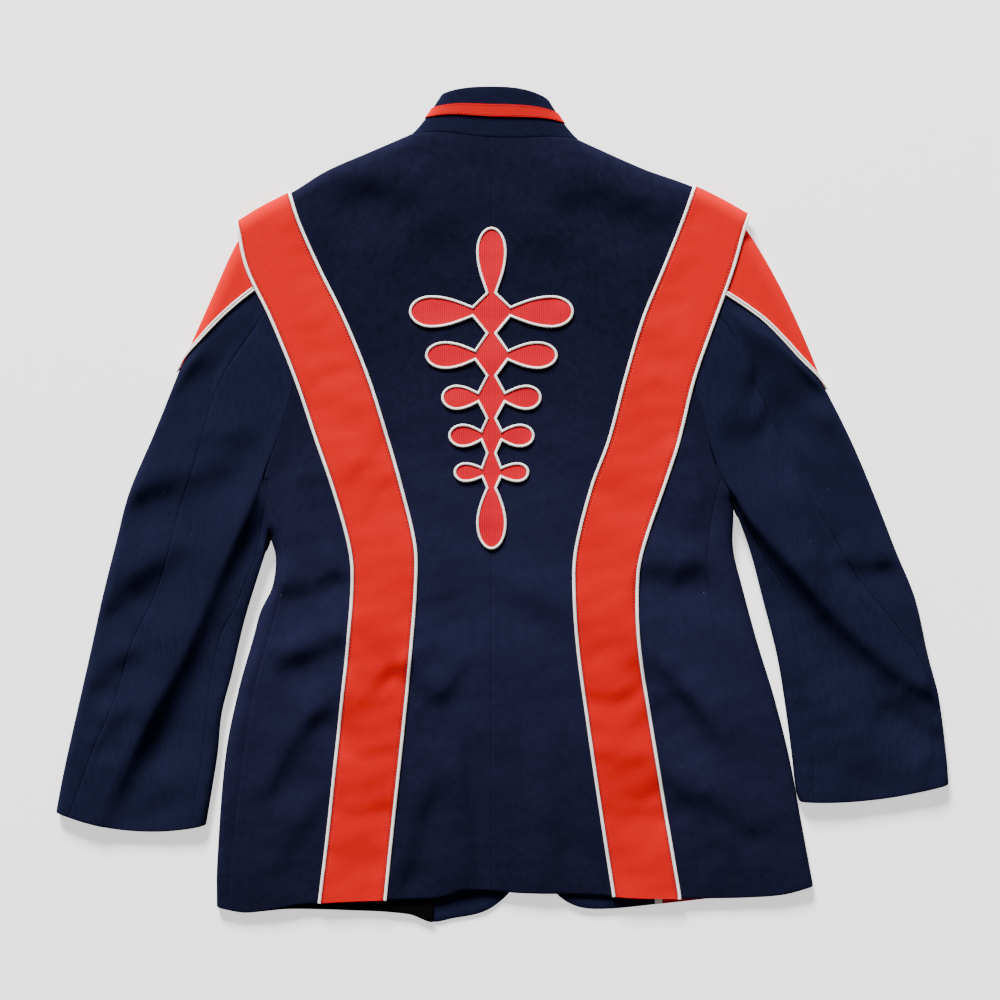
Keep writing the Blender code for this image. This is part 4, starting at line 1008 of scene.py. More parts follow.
def cloth(node, points, normals, thick, finish, sides, rests_on, cut=None, pointed=False):
    """A closed wall of cloth from rows of points on its outer face."""
    outer = roll_edges(points, normals, sides)
    inner = outer - normals * thick
    rows, columns = points.shape[:2]
    bm, order = numbered_grid(columns, rows)
    if cut is not None:
        gone = [face for face in bm.faces if cut(*divmod(min(v[order] for v in face.verts), columns))]
        bmesh.ops.delete(bm, geom=gone, context="FACES")
    wall = bmesh.ops.extrude_face_region(bm, geom=bm.faces[:])
    for item in wall["geom"]:
        if isinstance(item, bmesh.types.BMVert):
            item[order] += rows * columns
    places = np.concatenate([outer.reshape(-1, 3), inner.reshape(-1, 3)])
    across = lengths_along(points, 1)
    down = lengths_along(points, 0)
    flat = np.stack([across, down], axis=-1).reshape(-1, 2)
    mesh = shape_mesh(bm, node + "_cloth", places, np.concatenate([flat, flat]), CLOTH_SHARP)
    piece = link(mesh, node + "_cloth", finish, node)
    return piece


def tube(name, centres, normals, width, height, finish, node, sides=10, closed=False):
    """A soft cord along points, flattened to its width and height, mitred where it turns sharply."""
    before = np.roll(centres, 1, axis=0)
    after = np.roll(centres, -1, axis=0)
    if not closed:
        before[0] = centres[0]
        after[-1] = centres[-1]
    come = unit(centres - before)
    leave = unit(after - centres)
    if not closed:
        come[0] = leave[0]
        leave[-1] = come[-1]
    across = unit(np.cross(unit(come + leave), normals))
    half_turn = np.sqrt(np.clip((1 + np.sum(come * leave, axis=-1)) / 2, SHARPEST_MITRE, 1))
    angles = 2 * math.pi * np.arange(sides + 1) / sides
    wide = width / 2 / half_turn[:, None, None]
    places = (centres[:, None] + across[:, None] * (wide * np.cos(angles)[None, :, None])
              + normals[:, None] * (height / 2 * np.sin(angles))[None, :, None])
    line = centres
    if closed:
        places = np.concatenate([places, places[:1]])
        line = np.concatenate([centres, centres[:1]])
    along = length_of(line)
    around = angles / (2 * math.pi) * (width + height) * ROUND_SHARE
    uv = np.stack(np.broadcast_arrays(around[None, :], along[:, None]), axis=-1).reshape(-1, 2)
    bm = numbered_grid(sides + 1, len(line))[0]
    mesh = shape_mesh(bm, name, places.reshape(-1, 3), uv, CORD_SHARP, closed_with=sides)
    return link(mesh, name, finish, node)


def stitches(name, lines, length, gap, width, finish):
    """Rows of short threads that lie on the cloth along lines of (points, normals)."""
    bm = bmesh.new()
    for centres, normals in lines:
        run = length_of(centres)

        def at(rows, spot):
            return np.array([np.interp(spot, run, rows[:, axis]) for axis in range(3)])

        for start in np.arange(gap, run[-1] - length, length + gap):
            first = at(centres, start)
            last = at(centres, start + length)
            along = unit(last - first)
            side = unit(np.cross(unit(at(normals, start + length / 2)), along))
            axes = Matrix((along, side, np.cross(along, side))).transposed().to_4x4()
            middle = Matrix.Translation(Vector((first + last) / 2 * MM))
            size = Matrix.Diagonal((length / 2 * MM, width / 2 * MM, width / 2 * MM, 1))
            bmesh.ops.create_icosphere(bm, subdivisions=1, radius=1, matrix=middle @ axes @ size)
    mesh = bpy.data.meshes.new(name)
    bm.to_mesh(mesh)
    bm.free()
    mesh.shade_smooth()
    return link(mesh, name, finish)


# Materials

class Strand:
    """One output of a material's nodes. The operators on it add Math nodes."""

    def __init__(self, tree, socket):
        self.tree = tree
        self.socket = socket

    def __add__(self, other):
        return math_node(self.tree, "ADD", self, other)

    def __radd__(self, other):
        return math_node(self.tree, "ADD", other, self)

    def __sub__(self, other):
        return math_node(self.tree, "SUBTRACT", self, other)

    def __rsub__(self, other):
        return math_node(self.tree, "SUBTRACT", other, self)

    def __mul__(self, other):
        return math_node(self.tree, "MULTIPLY", self, other)

    def __rmul__(self, other):
        return math_node(self.tree, "MULTIPLY", other, self)

    def __gt__(self, other):
        return math_node(self.tree, "GREATER_THAN", self, other)

    def __lt__(self, other):
        return math_node(self.tree, "LESS_THAN", self, other)


def join(tree, item, socket):
    if isinstance(item, Strand):
        tree.links.new(item.socket, socket)
    else:
        socket.default_value = item


def math_node(tree, operation, first, second=0.0):
    made = tree.nodes.new("ShaderNodeMath")
    made.operation = operation
    join(tree, first, made.inputs[0])
    join(tree, second, made.inputs[1])
    return Strand(tree, made.outputs[0])


SOCKETS = {"roughness": "Roughness", "specular": "Specular IOR Level", "sheen": "Sheen Weight",
           "sheen_roughness": "Sheen Roughness"}


class Finish:
    """A material and the one method that adds its nodes."""

    def __init__(self, name, **settings):
        self.material = bpy.data.materials.new(name)
        self.material.use_nodes = True
        self.tree = self.material.node_tree
        self.shader = self.tree.nodes["Principled BSDF"]
        for socket, value in settings.items():
            self.shader.inputs[SOCKETS[socket]].default_value = value

    def node(self, kind, output, settings=None, inputs=None):
        made = self.tree.nodes.new("ShaderNode" + kind)
        for key, value in (settings or {}).items():
            setattr(made, key, value)
        for key, value in (inputs or {}).items():
            join(self.tree, value, made.inputs[key])
        return Strand(self.tree, made.outputs[output])

    def cloth_map(self):
        """The cloth map, and its places across and along the cloth in metres."""
        where = self.node("UVMap", "UV", {"uv_map": "cloth"})
        across = self.node("SeparateXYZ", "X", None, {0: where})
        return where, across, Strand(self.tree, across.socket.node.outputs["Y"])

    def noise(self, where, per_metre, detail=2.0, roughness=0.5):
        return self.node("TexNoise", "Fac", {"noise_dimensions": "3D"},
                         {"Vector": where, "Scale": per_metre, "Detail": detail, "Roughness": roughness})

    def wave(self, value, pitch):
        """A ridge from 0 to 1 for each pitch, in metres."""
        turned = math_node(self.tree, "SINE", value * (2 * math.pi / pitch))
        return turned * 0.5 + 0.5

    def blend(self, part, first, second):
        return self.node("Mix", 2, {"data_type": "RGBA"}, {0: part, 6: first, 7: second})

    def colour(self, value):
        join(self.tree, value, self.shader.inputs["Base Color"])

    def bump(self, height, strength, distance):
        made = self.node("Bump", "Normal", None,
                         {"Height": height, "Strength": strength, "Distance": distance})
        join(self.tree, made, self.shader.inputs["Normal"])


def shade(colour, amount):
    return (*[min(channel * amount, 1.0) for channel in colour], 1.0)


# Patterns of the cloths. A scale is a number per metre, and a pitch or length is in metres
WOOL_GRAIN = 700.0
WOOL_PATCH = 16.0
WOOL_SLUB = 130.0
LINT_CELLS = 42.0
LINT_CHOICE = 60.0
LINT_SPARSE = 0.58
LINT_SHOWS = 0.3
LINT_COLOUR = (0.30, 0.30, 0.33, 1.0)
RIB_PITCH = 0.0021
PICK_PITCH = 0.0011
RIB_GRAIN = 500.0
CORD_GRAIN = 900.0
LINING_THREAD = 0.0009
LINING_SLUB = 60.0

# Painted shading on the back: darker below the collar and paler at the waist, one slow wave down its length
PAINTED_SHADING_FROM = 0.305
PAINTED_SHADING_LENGTH = 0.70


def wool(name, colour, spread, lint, pitch, lean, sheen=0.0, painted_shading=0.0):
    """Twill wool: fine slanting ribs, a grain, slow patches of tone, pale lint, and painted shading, darker
    below the collar and paler at the waist.
    """
    cloth_finish = Finish(name, roughness=0.9, sheen=sheen, sheen_roughness=0.4, specular=0.02)
    cloth_finish.shader.inputs["Sheen Tint"].default_value = shade(colour, 6.0)
    where, across, along = cloth_finish.cloth_map()
    rib = cloth_finish.wave(across + along * lean, pitch)
    grain = cloth_finish.noise(where, WOOL_GRAIN, 3.0, 0.6)
    patch = cloth_finish.noise(where, WOOL_PATCH, 3.0, 0.55)
    slub = cloth_finish.noise(where, WOOL_SLUB)
    tone = patch * 0.24 + grain * 0.8 + slub * 0.5 + rib * 0.06 - 0.3
    # Painted shading: one slow wave of tone down the cloth, darker below the collar and paler at the waist
    if painted_shading:
        tone = tone + cloth_finish.wave(along - PAINTED_SHADING_FROM, PAINTED_SHADING_LENGTH) * painted_shading - painted_shading / 2
    base = cloth_finish.blend(tone, shade(colour, 1 - spread), shade(colour, 1 + spread))
    if lint:
        cells = cloth_finish.node("TexVoronoi", "Distance", {"feature": "F1"},
                                  {"Vector": where, "Scale": LINT_CELLS, "Randomness": 1.0})
        chosen = cloth_finish.noise(where, LINT_CHOICE, 1.0)
        speck = (cells < lint) * (chosen > LINT_SPARSE)
        base = cloth_finish.blend(speck * LINT_SHOWS, base, LINT_COLOUR)
    cloth_finish.colour(base)
    cloth_finish.bump(rib * 0.15 + grain * 0.8, 0.3, 0.0005)
    return cloth_finish.material


def ribbed(name, colour):
    """Ribbed cloth with fine upright ribs, as on the ladder of loops."""
    cloth_finish = Finish(name, roughness=0.8, sheen=0.0, specular=0.02)
    where, across, along = cloth_finish.cloth_map()
    rib = cloth_finish.wave(across, RIB_PITCH)
    pick = cloth_finish.wave(along, PICK_PITCH)
    grain = cloth_finish.noise(where, RIB_GRAIN)
    tone = rib * 0.7 + pick * 0.1 + grain * 0.3 - 0.05
    cloth_finish.colour(cloth_finish.blend(tone, shade(colour, 0.8), shade(colour, 1.12)))
    cloth_finish.bump(rib + pick * 0.2 + grain * 0.2, 0.4, 0.0005)
    return cloth_finish.material


def twisted(name, colour, pitch, lean, dark):
    """Soft cord: slanting strands round it, with a fine grain."""
    cord_finish = Finish(name, roughness=0.6, sheen=0.2, sheen_roughness=0.4)
    where, around, along = cord_finish.cloth_map()
    strand = cord_finish.wave(along + around * lean, pitch)
    grain = cord_finish.noise(where, CORD_GRAIN)
    tone = strand * 0.5 + grain * 0.5
    cord_finish.colour(cord_finish.blend(tone, shade(colour, dark), shade(colour, 1.04)))
    cord_finish.bump(strand + grain * 0.4, 0.4, 0.0003)
    return cord_finish.material


def lining_cloth(name, colour):
    """Smooth lining with a low gloss and fine cross threads."""
    cloth_finish = Finish(name, roughness=0.6, specular=0.01)
    where, across, _ = cloth_finish.cloth_map()
    thread = cloth_finish.wave(across, LINING_THREAD)
    slub = cloth_finish.noise(where, LINING_SLUB, 3.0, 0.6)
    cloth_finish.colour(cloth_finish.blend(slub * 0.6 + thread * 0.3, shade(colour, 0.6), shade(colour, 1.6)))
    cloth_finish.bump(slub + thread * 0.2, 0.3, 0.0008)
    return cloth_finish.material


# Each finish: how it is made, its dye, the share of the dye's three channels, and its settings
SAME = (1.0, 1.0, 1.0)
NAVY_WOOL = {"spread": 0.6, "lint": 0.022, "pitch": 0.00075, "lean": 0.9, "sheen": 0.012}
THREAD = {"pitch": 0.0008, "lean": 1.0, "dark": 0.8}
FINISHES = {
    "navy_twill": (wool, "navy", SAME, NAVY_WOOL),
    # The panels' navy carries painted shading: darker below the collar and paler at the waist
    "navy_back": (wool, "navy", (1.08, 0.98, 1.0), {**NAVY_WOOL, "painted_shading": 0.5}),
    "orange_cloth": (wool, "orange", SAME, {"spread": 0.10, "lint": 0.0, "pitch": 0.0009, "lean": 0.7}),
    "red_ribs": (ribbed, "red", SAME, {}),
    "white_piping": (twisted, "white", SAME, {"pitch": 0.0016, "lean": 0.5, "dark": 0.94}),
    "edge_cord": (twisted, "white", SAME, {"pitch": 0.0022, "lean": 0.8, "dark": 0.86}),
    "lining_satin": (lining_cloth, "lining", SAME, {}),
    "orange_thread": (twisted, "orange", (0.22, 0.22, 0.22), THREAD),
    "grey_thread": (twisted, "thread", SAME, THREAD),
}


def material_named(name):
    """A finish by name, made once from the colours that the panel holds."""
    if name in bpy.data.materials:
        return bpy.data.materials[name]
    maker, dye, shares, settings = FINISHES[name]
    colour = getattr(bpy.context.scene.jacket_colours, dye)
    return maker(name, [channel * share for channel, share in zip(colour, shares)], **settings)


# The cloths

def body_rows(cloth_step):
    """Steps k for the fine rows: close together at the shoulder fold, the seam's start and the hem."""
    over_cap = np.linspace(0, CAP_STEPS, CAP_ROWS)
    beside_arm = np.append(np.linspace(CAP_STEPS, JUNCTION, ARM_ROWS)[1:], (SEAM_START - 0.01, SEAM_START))
    below = JUNCTION + np.linspace(0, 1, int(BODY_LENGTH / cloth_step))[1:-1]
    return np.concatenate([over_cap, np.sort(beside_arm), below, JUNCTION + 1 - np.array(HEM_ROWS)])


def spread(first, last, count):
    """Columns from first to last, even inside, and close together beside both ends."""
    close = np.array(EDGE_COLUMNS)
    first = np.asarray(first, float)[..., None]
    last = np.asarray(last, float)[..., None]
    inner = first + close[-1] + (last - first - 2 * close[-1]) * np.linspace(0, 1, count)[1:-1]
    return np.concatenate([first + close, inner, last - close[::-1]], axis=-1)


def side_edge(side, k):
    """The back panel's outer edge: the armhole, then the side seam from just inside it."""
    v = row_v(side, k)
    seam = out_at(side, v, TOP, SIDE, "seam")
    arm = armhole_out(side, np.minimum(k, JUNCTION), TOP)
    start = arm - SEAM_WEDGE * np.clip(k - (SEAM_START - 1), 0, 1)
    below = np.where(k < SEAM_START, start, np.minimum(seam, arm - SEAM_WEDGE))
    return np.where(k < JUNCTION, below, seam)


def back_cloth(side, cloth_step):
    k = body_rows(cloth_step)
    outs = spread(0 * k, side_edge(side, k), int(BODY_WIDTH / cloth_step))
    points, normals = body_point(side, outs, row_v(side, k)[:, None], TOP)
    return cloth("back_" + side, points, normals, CLOTH, "navy_back",
                 "first_column last_column last_row", ["front_" + side + "_cloth"])


def front_cloth(side, cloth_step):
    """The front, from the lap round the side fold, or beside the armhole as far as it, to the side seam."""
    k = body_rows(cloth_step)
    v = row_v(side, k)
    armhole = k < JUNCTION - 1e-9
    fold = np.where(armhole, armhole_out(side, k, UNDER), out_at(side, v, UNDER, SIDE, "fold"))
    near = np.where(armhole, armhole_out(side, k, TOP), out_at(side, v, TOP, SIDE, "fold"))
    edge = centre_front(side, mix(FRONT_NECK_DROP, FRONT_LENGTH, v)) - LAP
    round_width = np.where(armhole, ARM_ROUND, FOLD_ROUND * body_height(v))
    flat = spread(edge, fold - round_width, int(BODY_WIDTH / cloth_step))
    turn = 1 - np.cos(np.radians(np.linspace(90, 0, CURL_COLUMNS)))[1:]
    curl = fold[:, None] - round_width[:, None] * turn
    seam = np.where(k < SEAM_START, near - SEAM_WEDGE, side_edge(side, k))
    strip = mix(near[:, None], seam[:, None], np.linspace(0, 1, CURL_COLUMNS) ** CURL_GROWTH)
    under = body_point(side, np.concatenate([flat, curl], axis=1), v[:, None], UNDER)
    top = body_point(side, strip, v[:, None], TOP)
    first_strip = under[0].shape[1]
    seam_rows = k < SEAM_START - 1e-9

    def cut(row, column):
        if column >= first_strip:
            return seam_rows[row]
        return column == first_strip - 1 and armhole[row]

    return cloth("front_" + side, *beside(under, top), CLOTH, "navy_back",
                 "first_column last_column last_row", ["floor"], cut=cut)


def band_surface(side, v, face, offset, depth):
    """Points across the band; offset runs from 0 at its inner edge to 1 at its outer edge."""
    table = BACK_BAND if face == TOP else FRONT_BAND
    inner = out_at(side, v, face, table, "inner")
    outer = out_at(side, v, face, table, "outer")
    return body_point(side, mix(inner, outer, offset), v, face, depth)


def band_grid(side, offset, depth):
    """Rows of a band: up the back, over the shoulder fold and down the front."""
    over_fold = np.linspace(0, 1, BAND_FOLD_ROWS)[1:] ** BAND_GROWTH * BAND_FOLD
    v = np.concatenate([[0], over_fold, np.linspace(BAND_FOLD, 1, BAND_ROWS)[1:]])[:, None]
    return beside(band_surface(side, v[::-1], TOP, offset, depth),
                  band_surface(side, v[1:], UNDER, offset, depth), axis=0)


def band_cloth(side):
    """The orange band, with a shallow ditch along the stitches beside each piping."""
    close = np.array((0.034, 0.042, 0.05, STITCH_DITCH, 0.061, 0.069, 0.085))
    offset = np.concatenate([close, np.linspace(0.11, 0.89, BAND_COLUMNS), 1 - close[::-1]])
    from_edge = np.minimum(offset, 1 - offset)
    ditch = DITCH_DEPTH * np.exp(-((from_edge - STITCH_DITCH) / DITCH_WIDTH) ** 2)
    points, normals = band_grid(side, offset, ditch - OVERLAY_GAP - BAND_THICK)
    return cloth("band_" + side, points, normals, BAND_THICK, "orange_cloth", "",
                 ["back_" + side + "_cloth", "floor"])


def band_line(side, offset, height):
    points, normals = band_grid(side, np.array([offset]), -OVERLAY_GAP - height)
    return points[:, 0], normals[:, 0]


def sleeve_steps():
    """Steps across the sleeve, close together beside its seams and folds."""
    return {
        "outer": np.concatenate([np.linspace(0, ELBOW_COLUMN - 0.5, 20),
                                 ELBOW_COLUMN - np.array((0.3, 0.18, 0.08, 0.03, 0))]),
        "middle": np.concatenate([ELBOW_COLUMN + np.array((0, 0.03, 0.07, 0.12, 0.2)),
                                  np.linspace(ELBOW_COLUMN + 0.4, FOREARM_COLUMN - 0.4, 22),
                                  FOREARM_COLUMN - np.array((0.2, 0.12, 0.07, 0.03, 0))]),
        "inner": np.concatenate([FOREARM_COLUMN + np.array((0, 0.05, 0.12, 0.22)),
                                 JUNCTION - 1.6 * (1 - np.linspace(0, 1, 9)) ** 1.7]),
    }


def sleeve_cloths(side, cloth_step):
    """The top sleeve, which goes round under the arm from seam to seam, and the under sleeve."""
    steps = sleeve_steps()
    part = np.linspace(0, 1, int(SLEEVE_LENGTH / cloth_step))
    part = np.concatenate([[0, 0.002, 0.005], part[1:-1], [0.994, 0.997, 1]])[:, None]
    across = np.concatenate([steps["outer"], steps["middle"][1:-1], steps["inner"]])
    edges = "first_column last_column first_row last_row"
    whole = beside(sleeve_point(side, steps["outer"][:0:-1], part, TOP),
                   sleeve_point(side, across, part, UNDER),
                   sleeve_point(side, steps["inner"][::-1], part, TOP))
    cloth("top_sleeve_" + side, *whole, CLOTH, "navy_twill", edges, ["floor"])
    cloth("under_sleeve_" + side, *sleeve_point(side, steps["middle"], part, TOP), CLOTH, "navy_twill",
          edges, ["top_sleeve_" + side + "_cloth"])


def cap_cloth(side):
    steps = np.concatenate([np.linspace(0, 5.4, 26), [5.55, 5.7, 5.8, 5.88]])
    b = np.concatenate([[0, 0.01, 0.03], np.linspace(0.06, 0.94, 16), [0.97, 0.99, 1]])[:, None]
    both = beside(cap_point(side, steps[::-1], b, TOP), cap_point(side, steps[1:], b, UNDER))
    return cloth("cap_" + side, *both, CLOTH, "orange_cloth", "first_row last_row",
                 ["top_sleeve_" + side + "_cloth"], pointed=True)


def cap_cord_line(side, shift, height):
    """A line beside the cap's seam, over the sleeve's outer fold, from wing to wing."""
    tries = np.linspace(0, 1, 101)
    out, drop = CAP_SEAM[side].at(tries)
    clear = out > BACK_BAND[side].at("outer", drop) + PIPING_WIDTH / 2 + CAP_CORD_CLEAR
    parts = tries[clear].max() * (np.linspace(0, 1, CAP_CORD_STEPS) ** STEP_GROWTH)
    down = cap_seam_point(side, parts[:0:-1], TOP)
    back = cap_seam_point(side, parts, UNDER)
    points, normals = beside(down, back, axis=0)
    points = points + normals * height
    across = unit(np.cross(np.gradient(points, axis=0), normals)) * SIGN[side]
    part = np.concatenate([parts[:0:-1], parts])
    moved = shift + POINT_SHIFT * (1 - ease(part / POINT_RUN))
    return points + across * moved[:, None], normals


# The ladder of loops

def loop_profile(reach, half, widest, neck):
    """Half widths of one loop from its neck to just before its tip: (along, half width)."""
    points = [(neck, LADDER_WAIST)]
    for k in range(1, LOOP_STEPS + 1):
        part = k / LOOP_STEPS
        points.append((mix(neck, widest, part), mix(LADDER_WAIST, half, math.sin(part * math.pi / 2))))
    for k in range(1, LOOP_STEPS):
        angle = k / LOOP_STEPS * math.pi / 2
        points.append((mix(widest, reach, math.sin(angle)), half * math.cos(angle)))
    return points


def ladder_side():
    """The ladder's right edge from its top tip to its bottom tip, as (out, drop)."""
    tip, widest = LADDER_ENDS["top"]
    end = loop_profile(LADDER_WAISTS[0] - tip, LADDER_END_HALF, LADDER_WAISTS[0] - widest, 0)
    edge = [(0, tip)] + [(half, LADDER_WAISTS[0] - along) for along, half in reversed(end)]
    for k, drop in enumerate(LADDER.places):
        row = [LADDER.columns[name][k] for name in ("reach", "half", "widest", "neck")]
        profile = loop_profile(*row)
        edge += [(along, drop - half) for along, half in profile]
        edge.append((row[0], drop))
        edge += [(along, drop + half) for along, half in reversed(profile)]
        edge.append((LADDER_WAIST, LADDER_WAISTS[k + 1]))
    tip, widest = LADDER_ENDS["bottom"]
    end = loop_profile(tip - LADDER_WAISTS[-1], LADDER_END_HALF, widest - LADDER_WAISTS[-1], 0)
    edge += [(half, LADDER_WAISTS[-1] + along) for along, half in end[1:]]
    edge.append((0, tip))
    return edge


def ladder_outline():
    right = ladder_side()
    left = [(-out, drop) for out, drop in reversed(right[1:-1])]
    return np.array(right + left, dtype=float)


def back_level(out, drop):
    """Height of the back's outer face under the ladder, with its creases."""
    heights = [body_point(side, np.abs(out), row_at(side, np.abs(out), drop), TOP)[0][..., 2]
               for side in ("left", "right")]
    return np.where(out < 0, *heights)


def ladder_cloth():
    outline = ladder_outline()
    bm = bmesh.new()
    verts = [bm.verts.new(((CENTRE_BACK_X + out) * MM, (BACK_NECK_Y - drop) * MM, 0))
             for out, drop in outline]
    bm.faces.new(verts)
    for axis, low, high in ((0, -90, 80), (1, -50, 280)):
        for at in range(low, high, LADDER_GRID):
            spot = [0.0, 0.0, 0.0]
            spot[axis] = at * MM
            normal = [0.0, 0.0, 0.0]
            normal[axis] = 1.0
            geom = bm.verts[:] + bm.edges[:] + bm.faces[:]
            bmesh.ops.bisect_plane(bm, geom=geom, plane_co=spot, plane_no=normal, dist=1e-6)
    wall = bmesh.ops.extrude_face_region(bm, geom=bm.faces[:])
    raised = {item for item in wall["geom"] if isinstance(item, bmesh.types.BMVert)}
    out = np.array([vert.co.x / MM - CENTRE_BACK_X for vert in bm.verts])
    drop = np.array([BACK_NECK_Y - vert.co.y / MM for vert in bm.verts])
    level = back_level(out, drop) + OVERLAY_GAP
    for vert, z in zip(bm.verts, level):
        vert.co.z = (z + (LADDER_THICK if vert in raised else 0)) * MM
    bmesh.ops.recalc_face_normals(bm, faces=bm.faces)
    uv = bm.loops.layers.uv.new("cloth")
    for face in bm.faces:
        for loop in face.loops:
            loop[uv].uv = (loop.vert.co.x, loop.vert.co.y)
    mesh = bpy.data.meshes.new("ladder_cloth")
    bm.to_mesh(mesh)
    bm.free()
    smooth(mesh, CLOTH_SHARP)
    piece = link(mesh, "ladder_cloth", "red_ribs", "ornament")
    wide = 2 * (LADDER.columns["reach"].max() + TURN_IN)
    wide * MM
    return piece


def ladder_cord():
    outline = ladder_outline()
    out, drop = outline[:, 0], outline[:, 1]
    level = back_level(out, drop) + OVERLAY_GAP + LADDER_THICK + CORD_HEIGHT / 2 - LADDER_CORD_SINK
    centres = spots(CENTRE_BACK_X + out, BACK_NECK_Y - drop, level)
    normals = np.zeros_like(centres)
    normals[:, 2] = 1
    return tube("ladder_cord", centres, normals, LADDER_CORD, CORD_HEIGHT, "edge_cord", "ornament_cord",
                sides=8, closed=True)


# What shows of the inside below the back hem

def inside_cloth(node, side, reach, lift, finish, rolled, waves):
    """A piece on the inside of a front, level, with a rolled free edge and low waves."""
    out = np.linspace(*reach, 40)[None]
    v = np.concatenate([np.linspace(INSIDE_FROM, 0.99, 14), [0.993, 0.996, 0.998, 1]])[:, None]
    from_edge = (1 - v) * INSIDE_LENGTH / INSIDE_ROLL_WIDTH
    z = CLOTH + OVERLAY_GAP + lift + TRIM_THICK - rolled * (1 - np.clip(from_edge, 0, 1)) ** 2
    z = z + waves * np.sin(out / 9 + 1) * np.sin(out / 23)
    points = place(side, out, row_drop(side, out, v, UNDER), z)
    normals = np.zeros_like(points)
    normals[..., 2] = 1
    return cloth(node, points, normals, TRIM_THICK, finish, "", ["front_" + side + "_cloth"])


# The add-on's settings and operators

def dye(name, description, colour):
    return FloatVectorProperty(name=name, description=description, subtype="COLOR", size=3, min=0, max=1,
                               default=colour)


class JacketColours(bpy.types.PropertyGroup):
    """Dyes of the jacket's cloths and trims."""

    navy: dye("Navy wool", "Colour of the jacket's cloth", (0.0066, 0.0074, 0.0225))
    orange: dye("Orange bands", "Colour of the bands, wings and caps", (0.540, 0.0025, 0.005))
    red: dye("Red ribs", "Colour of the ladder of loops", (0.560, 0.003, 0.018))
    white: dye("Off-white trim", "Colour of piping and cord", (0.95, 0.89, 0.83))
    lining: dye("Lining", "Colour of the fronts' lining", (0.0022, 0.0022, 0.0024))
    thread: dye("Cap thread", "Colour of the stitches between the caps' cords", (0.06, 0.06, 0.045))


class JacketSizes(bpy.types.PropertyGroup):
    """Sizes of the looks that a user would change."""

    cloth_step: FloatProperty(name="Cloth step", description="Spacing of the cloth's grid, in millimetres",
                              default=5.0, min=2.0, max=20.0)
    stitch_length: FloatProperty(name="Stitch length", description="Length of one stitch",
                                 default=0.0026, min=0.001, max=0.01, unit="LENGTH")
    camera_height: FloatProperty(name="Camera height", description="Height of the camera over the cloth",
                                 default=1.9444, min=0.5, max=10.0, unit="LENGTH")


def sew(context, name, lines, kind, finish):
    """Stitches of one kind along lines: its gap, thickness and share of the panel's stitch length."""
    gap, thick, share = kind
    length = context.scene.jacket_sizes.stitch_length / MM * share
    return stitches(name + "_stitches", lines, length, gap, thick, finish)


class JACKET_OT_body(bpy.types.Operator):
    """Make the back and front panels of navy wool"""

    bl_idname = "jacket.body"
    bl_label = "Body panels"

    def execute(self, context):
        for side in SIGN:
            front_cloth(side, context.scene.jacket_sizes.cloth_step)
            back_cloth(side, context.scene.jacket_sizes.cloth_step)
        return {"FINISHED"}


class JACKET_OT_sleeves(bpy.types.Operator):
    """Make the two-piece sleeves and their pointed orange caps with double cord"""

    bl_idname = "jacket.sleeves"
    bl_label = "Sleeves and caps"

    def execute(self, context):
        for side in SIGN:
            sleeve_cloths(side, context.scene.jacket_sizes.cloth_step)
            cap_cloth(side)
            for strand, way in (("upper", -1), ("lower", 1)):
                line = cap_cord_line(side, way * CORD_SPACING / 2, CORD_GAP + CORD_HEIGHT / 2)
                node = "cap_cord_" + side + "_" + strand
                tube(node + "_strand", *line, CORD_WIDTH, CORD_HEIGHT, "edge_cord", node, sides=8)
            middle = cap_cord_line(side, 0.0, CORD_GAP + CORD_HEIGHT * STITCH_SUNK)
            sew(context, "cap_cord_" + side, [middle], CAP_STITCH, "grey_thread")
        return {"FINISHED"}


class JACKET_OT_bands(bpy.types.Operator):
    """Make the orange bands over the shoulders, with their piping and stitches"""

    bl_idname = "jacket.bands"
    bl_label = "Bands and piping"

    def execute(self, context):
        for side in SIGN:
            band_cloth(side)
            for edge, offset in (("inner", 0.0), ("outer", 1.0)):
                line = band_line(side, offset, PIPING_HEIGHT / 2)
                node = "piping_" + side + "_" + edge
                tube(node + "_cord", *line, PIPING_WIDTH, PIPING_HEIGHT, "white_piping", node)
            lines = [band_line(side, offset, BAND_THICK - STITCH_DEPTH)
                     for offset in (STITCH_DITCH, 1 - STITCH_DITCH)]
            sew(context, "band_" + side, lines, BAND_STITCH, "orange_thread")
        return {"FINISHED"}


class JACKET_OT_collar(bpy.types.Operator):
    """Make the stand collar and the braid round it"""

    bl_idname = "jacket.collar"
    bl_label = "Collar and braid"

    def execute(self, context):
        heights = [0, 0.012, 0.03, 0.06, *np.linspace(0.1, 0.9, 12), 0.94, 0.97, 0.988, 1]
        cloth("collar", *collar_rows(heights, 0.0), COLLAR_CLOTH, "navy_twill", "first_row last_row",
              ["back_left_cloth"])
        across = np.array([0, 0.06, 0.13, *np.linspace(0.22, 0.78, 6), 0.87, 0.94, 1])
        braid = collar_rows(mix(BRAID_FROM, BRAID_TO, across), -OVERLAY_GAP - BRAID_THICK)
        cloth("collar_braid", *braid, BRAID_THICK, "orange_cloth", "", ["collar_cloth"])
        sewn = collar_rows(mix(BRAID_FROM, BRAID_TO, np.array(BRAID_SEWN)),
                           -OVERLAY_GAP - BRAID_THICK - STITCH_PROUD)
        sew(context, "collar_braid", list(zip(*sewn)), BRAID_STITCH, "orange_thread")
        return {"FINISHED"}


class JACKET_OT_ladder(bpy.types.Operator):
    """Make the ribbed ladder of loops and the cord round its edge"""

    bl_idname = "jacket.ladder"
    bl_label = "Ladder of loops"

    def execute(self, context):
        ladder_cloth()
        ladder_cord()
        return {"FINISHED"}


class JACKET_OT_inside(bpy.types.Operator):
    """Make what shows of the fronts' inside below the back hem"""

    bl_idname = "jacket.inside"
    bl_label = "Facings and lining"

    def execute(self, context):
        for row in INSIDE:
            inside_cloth(*row)
        return {"FINISHED"}


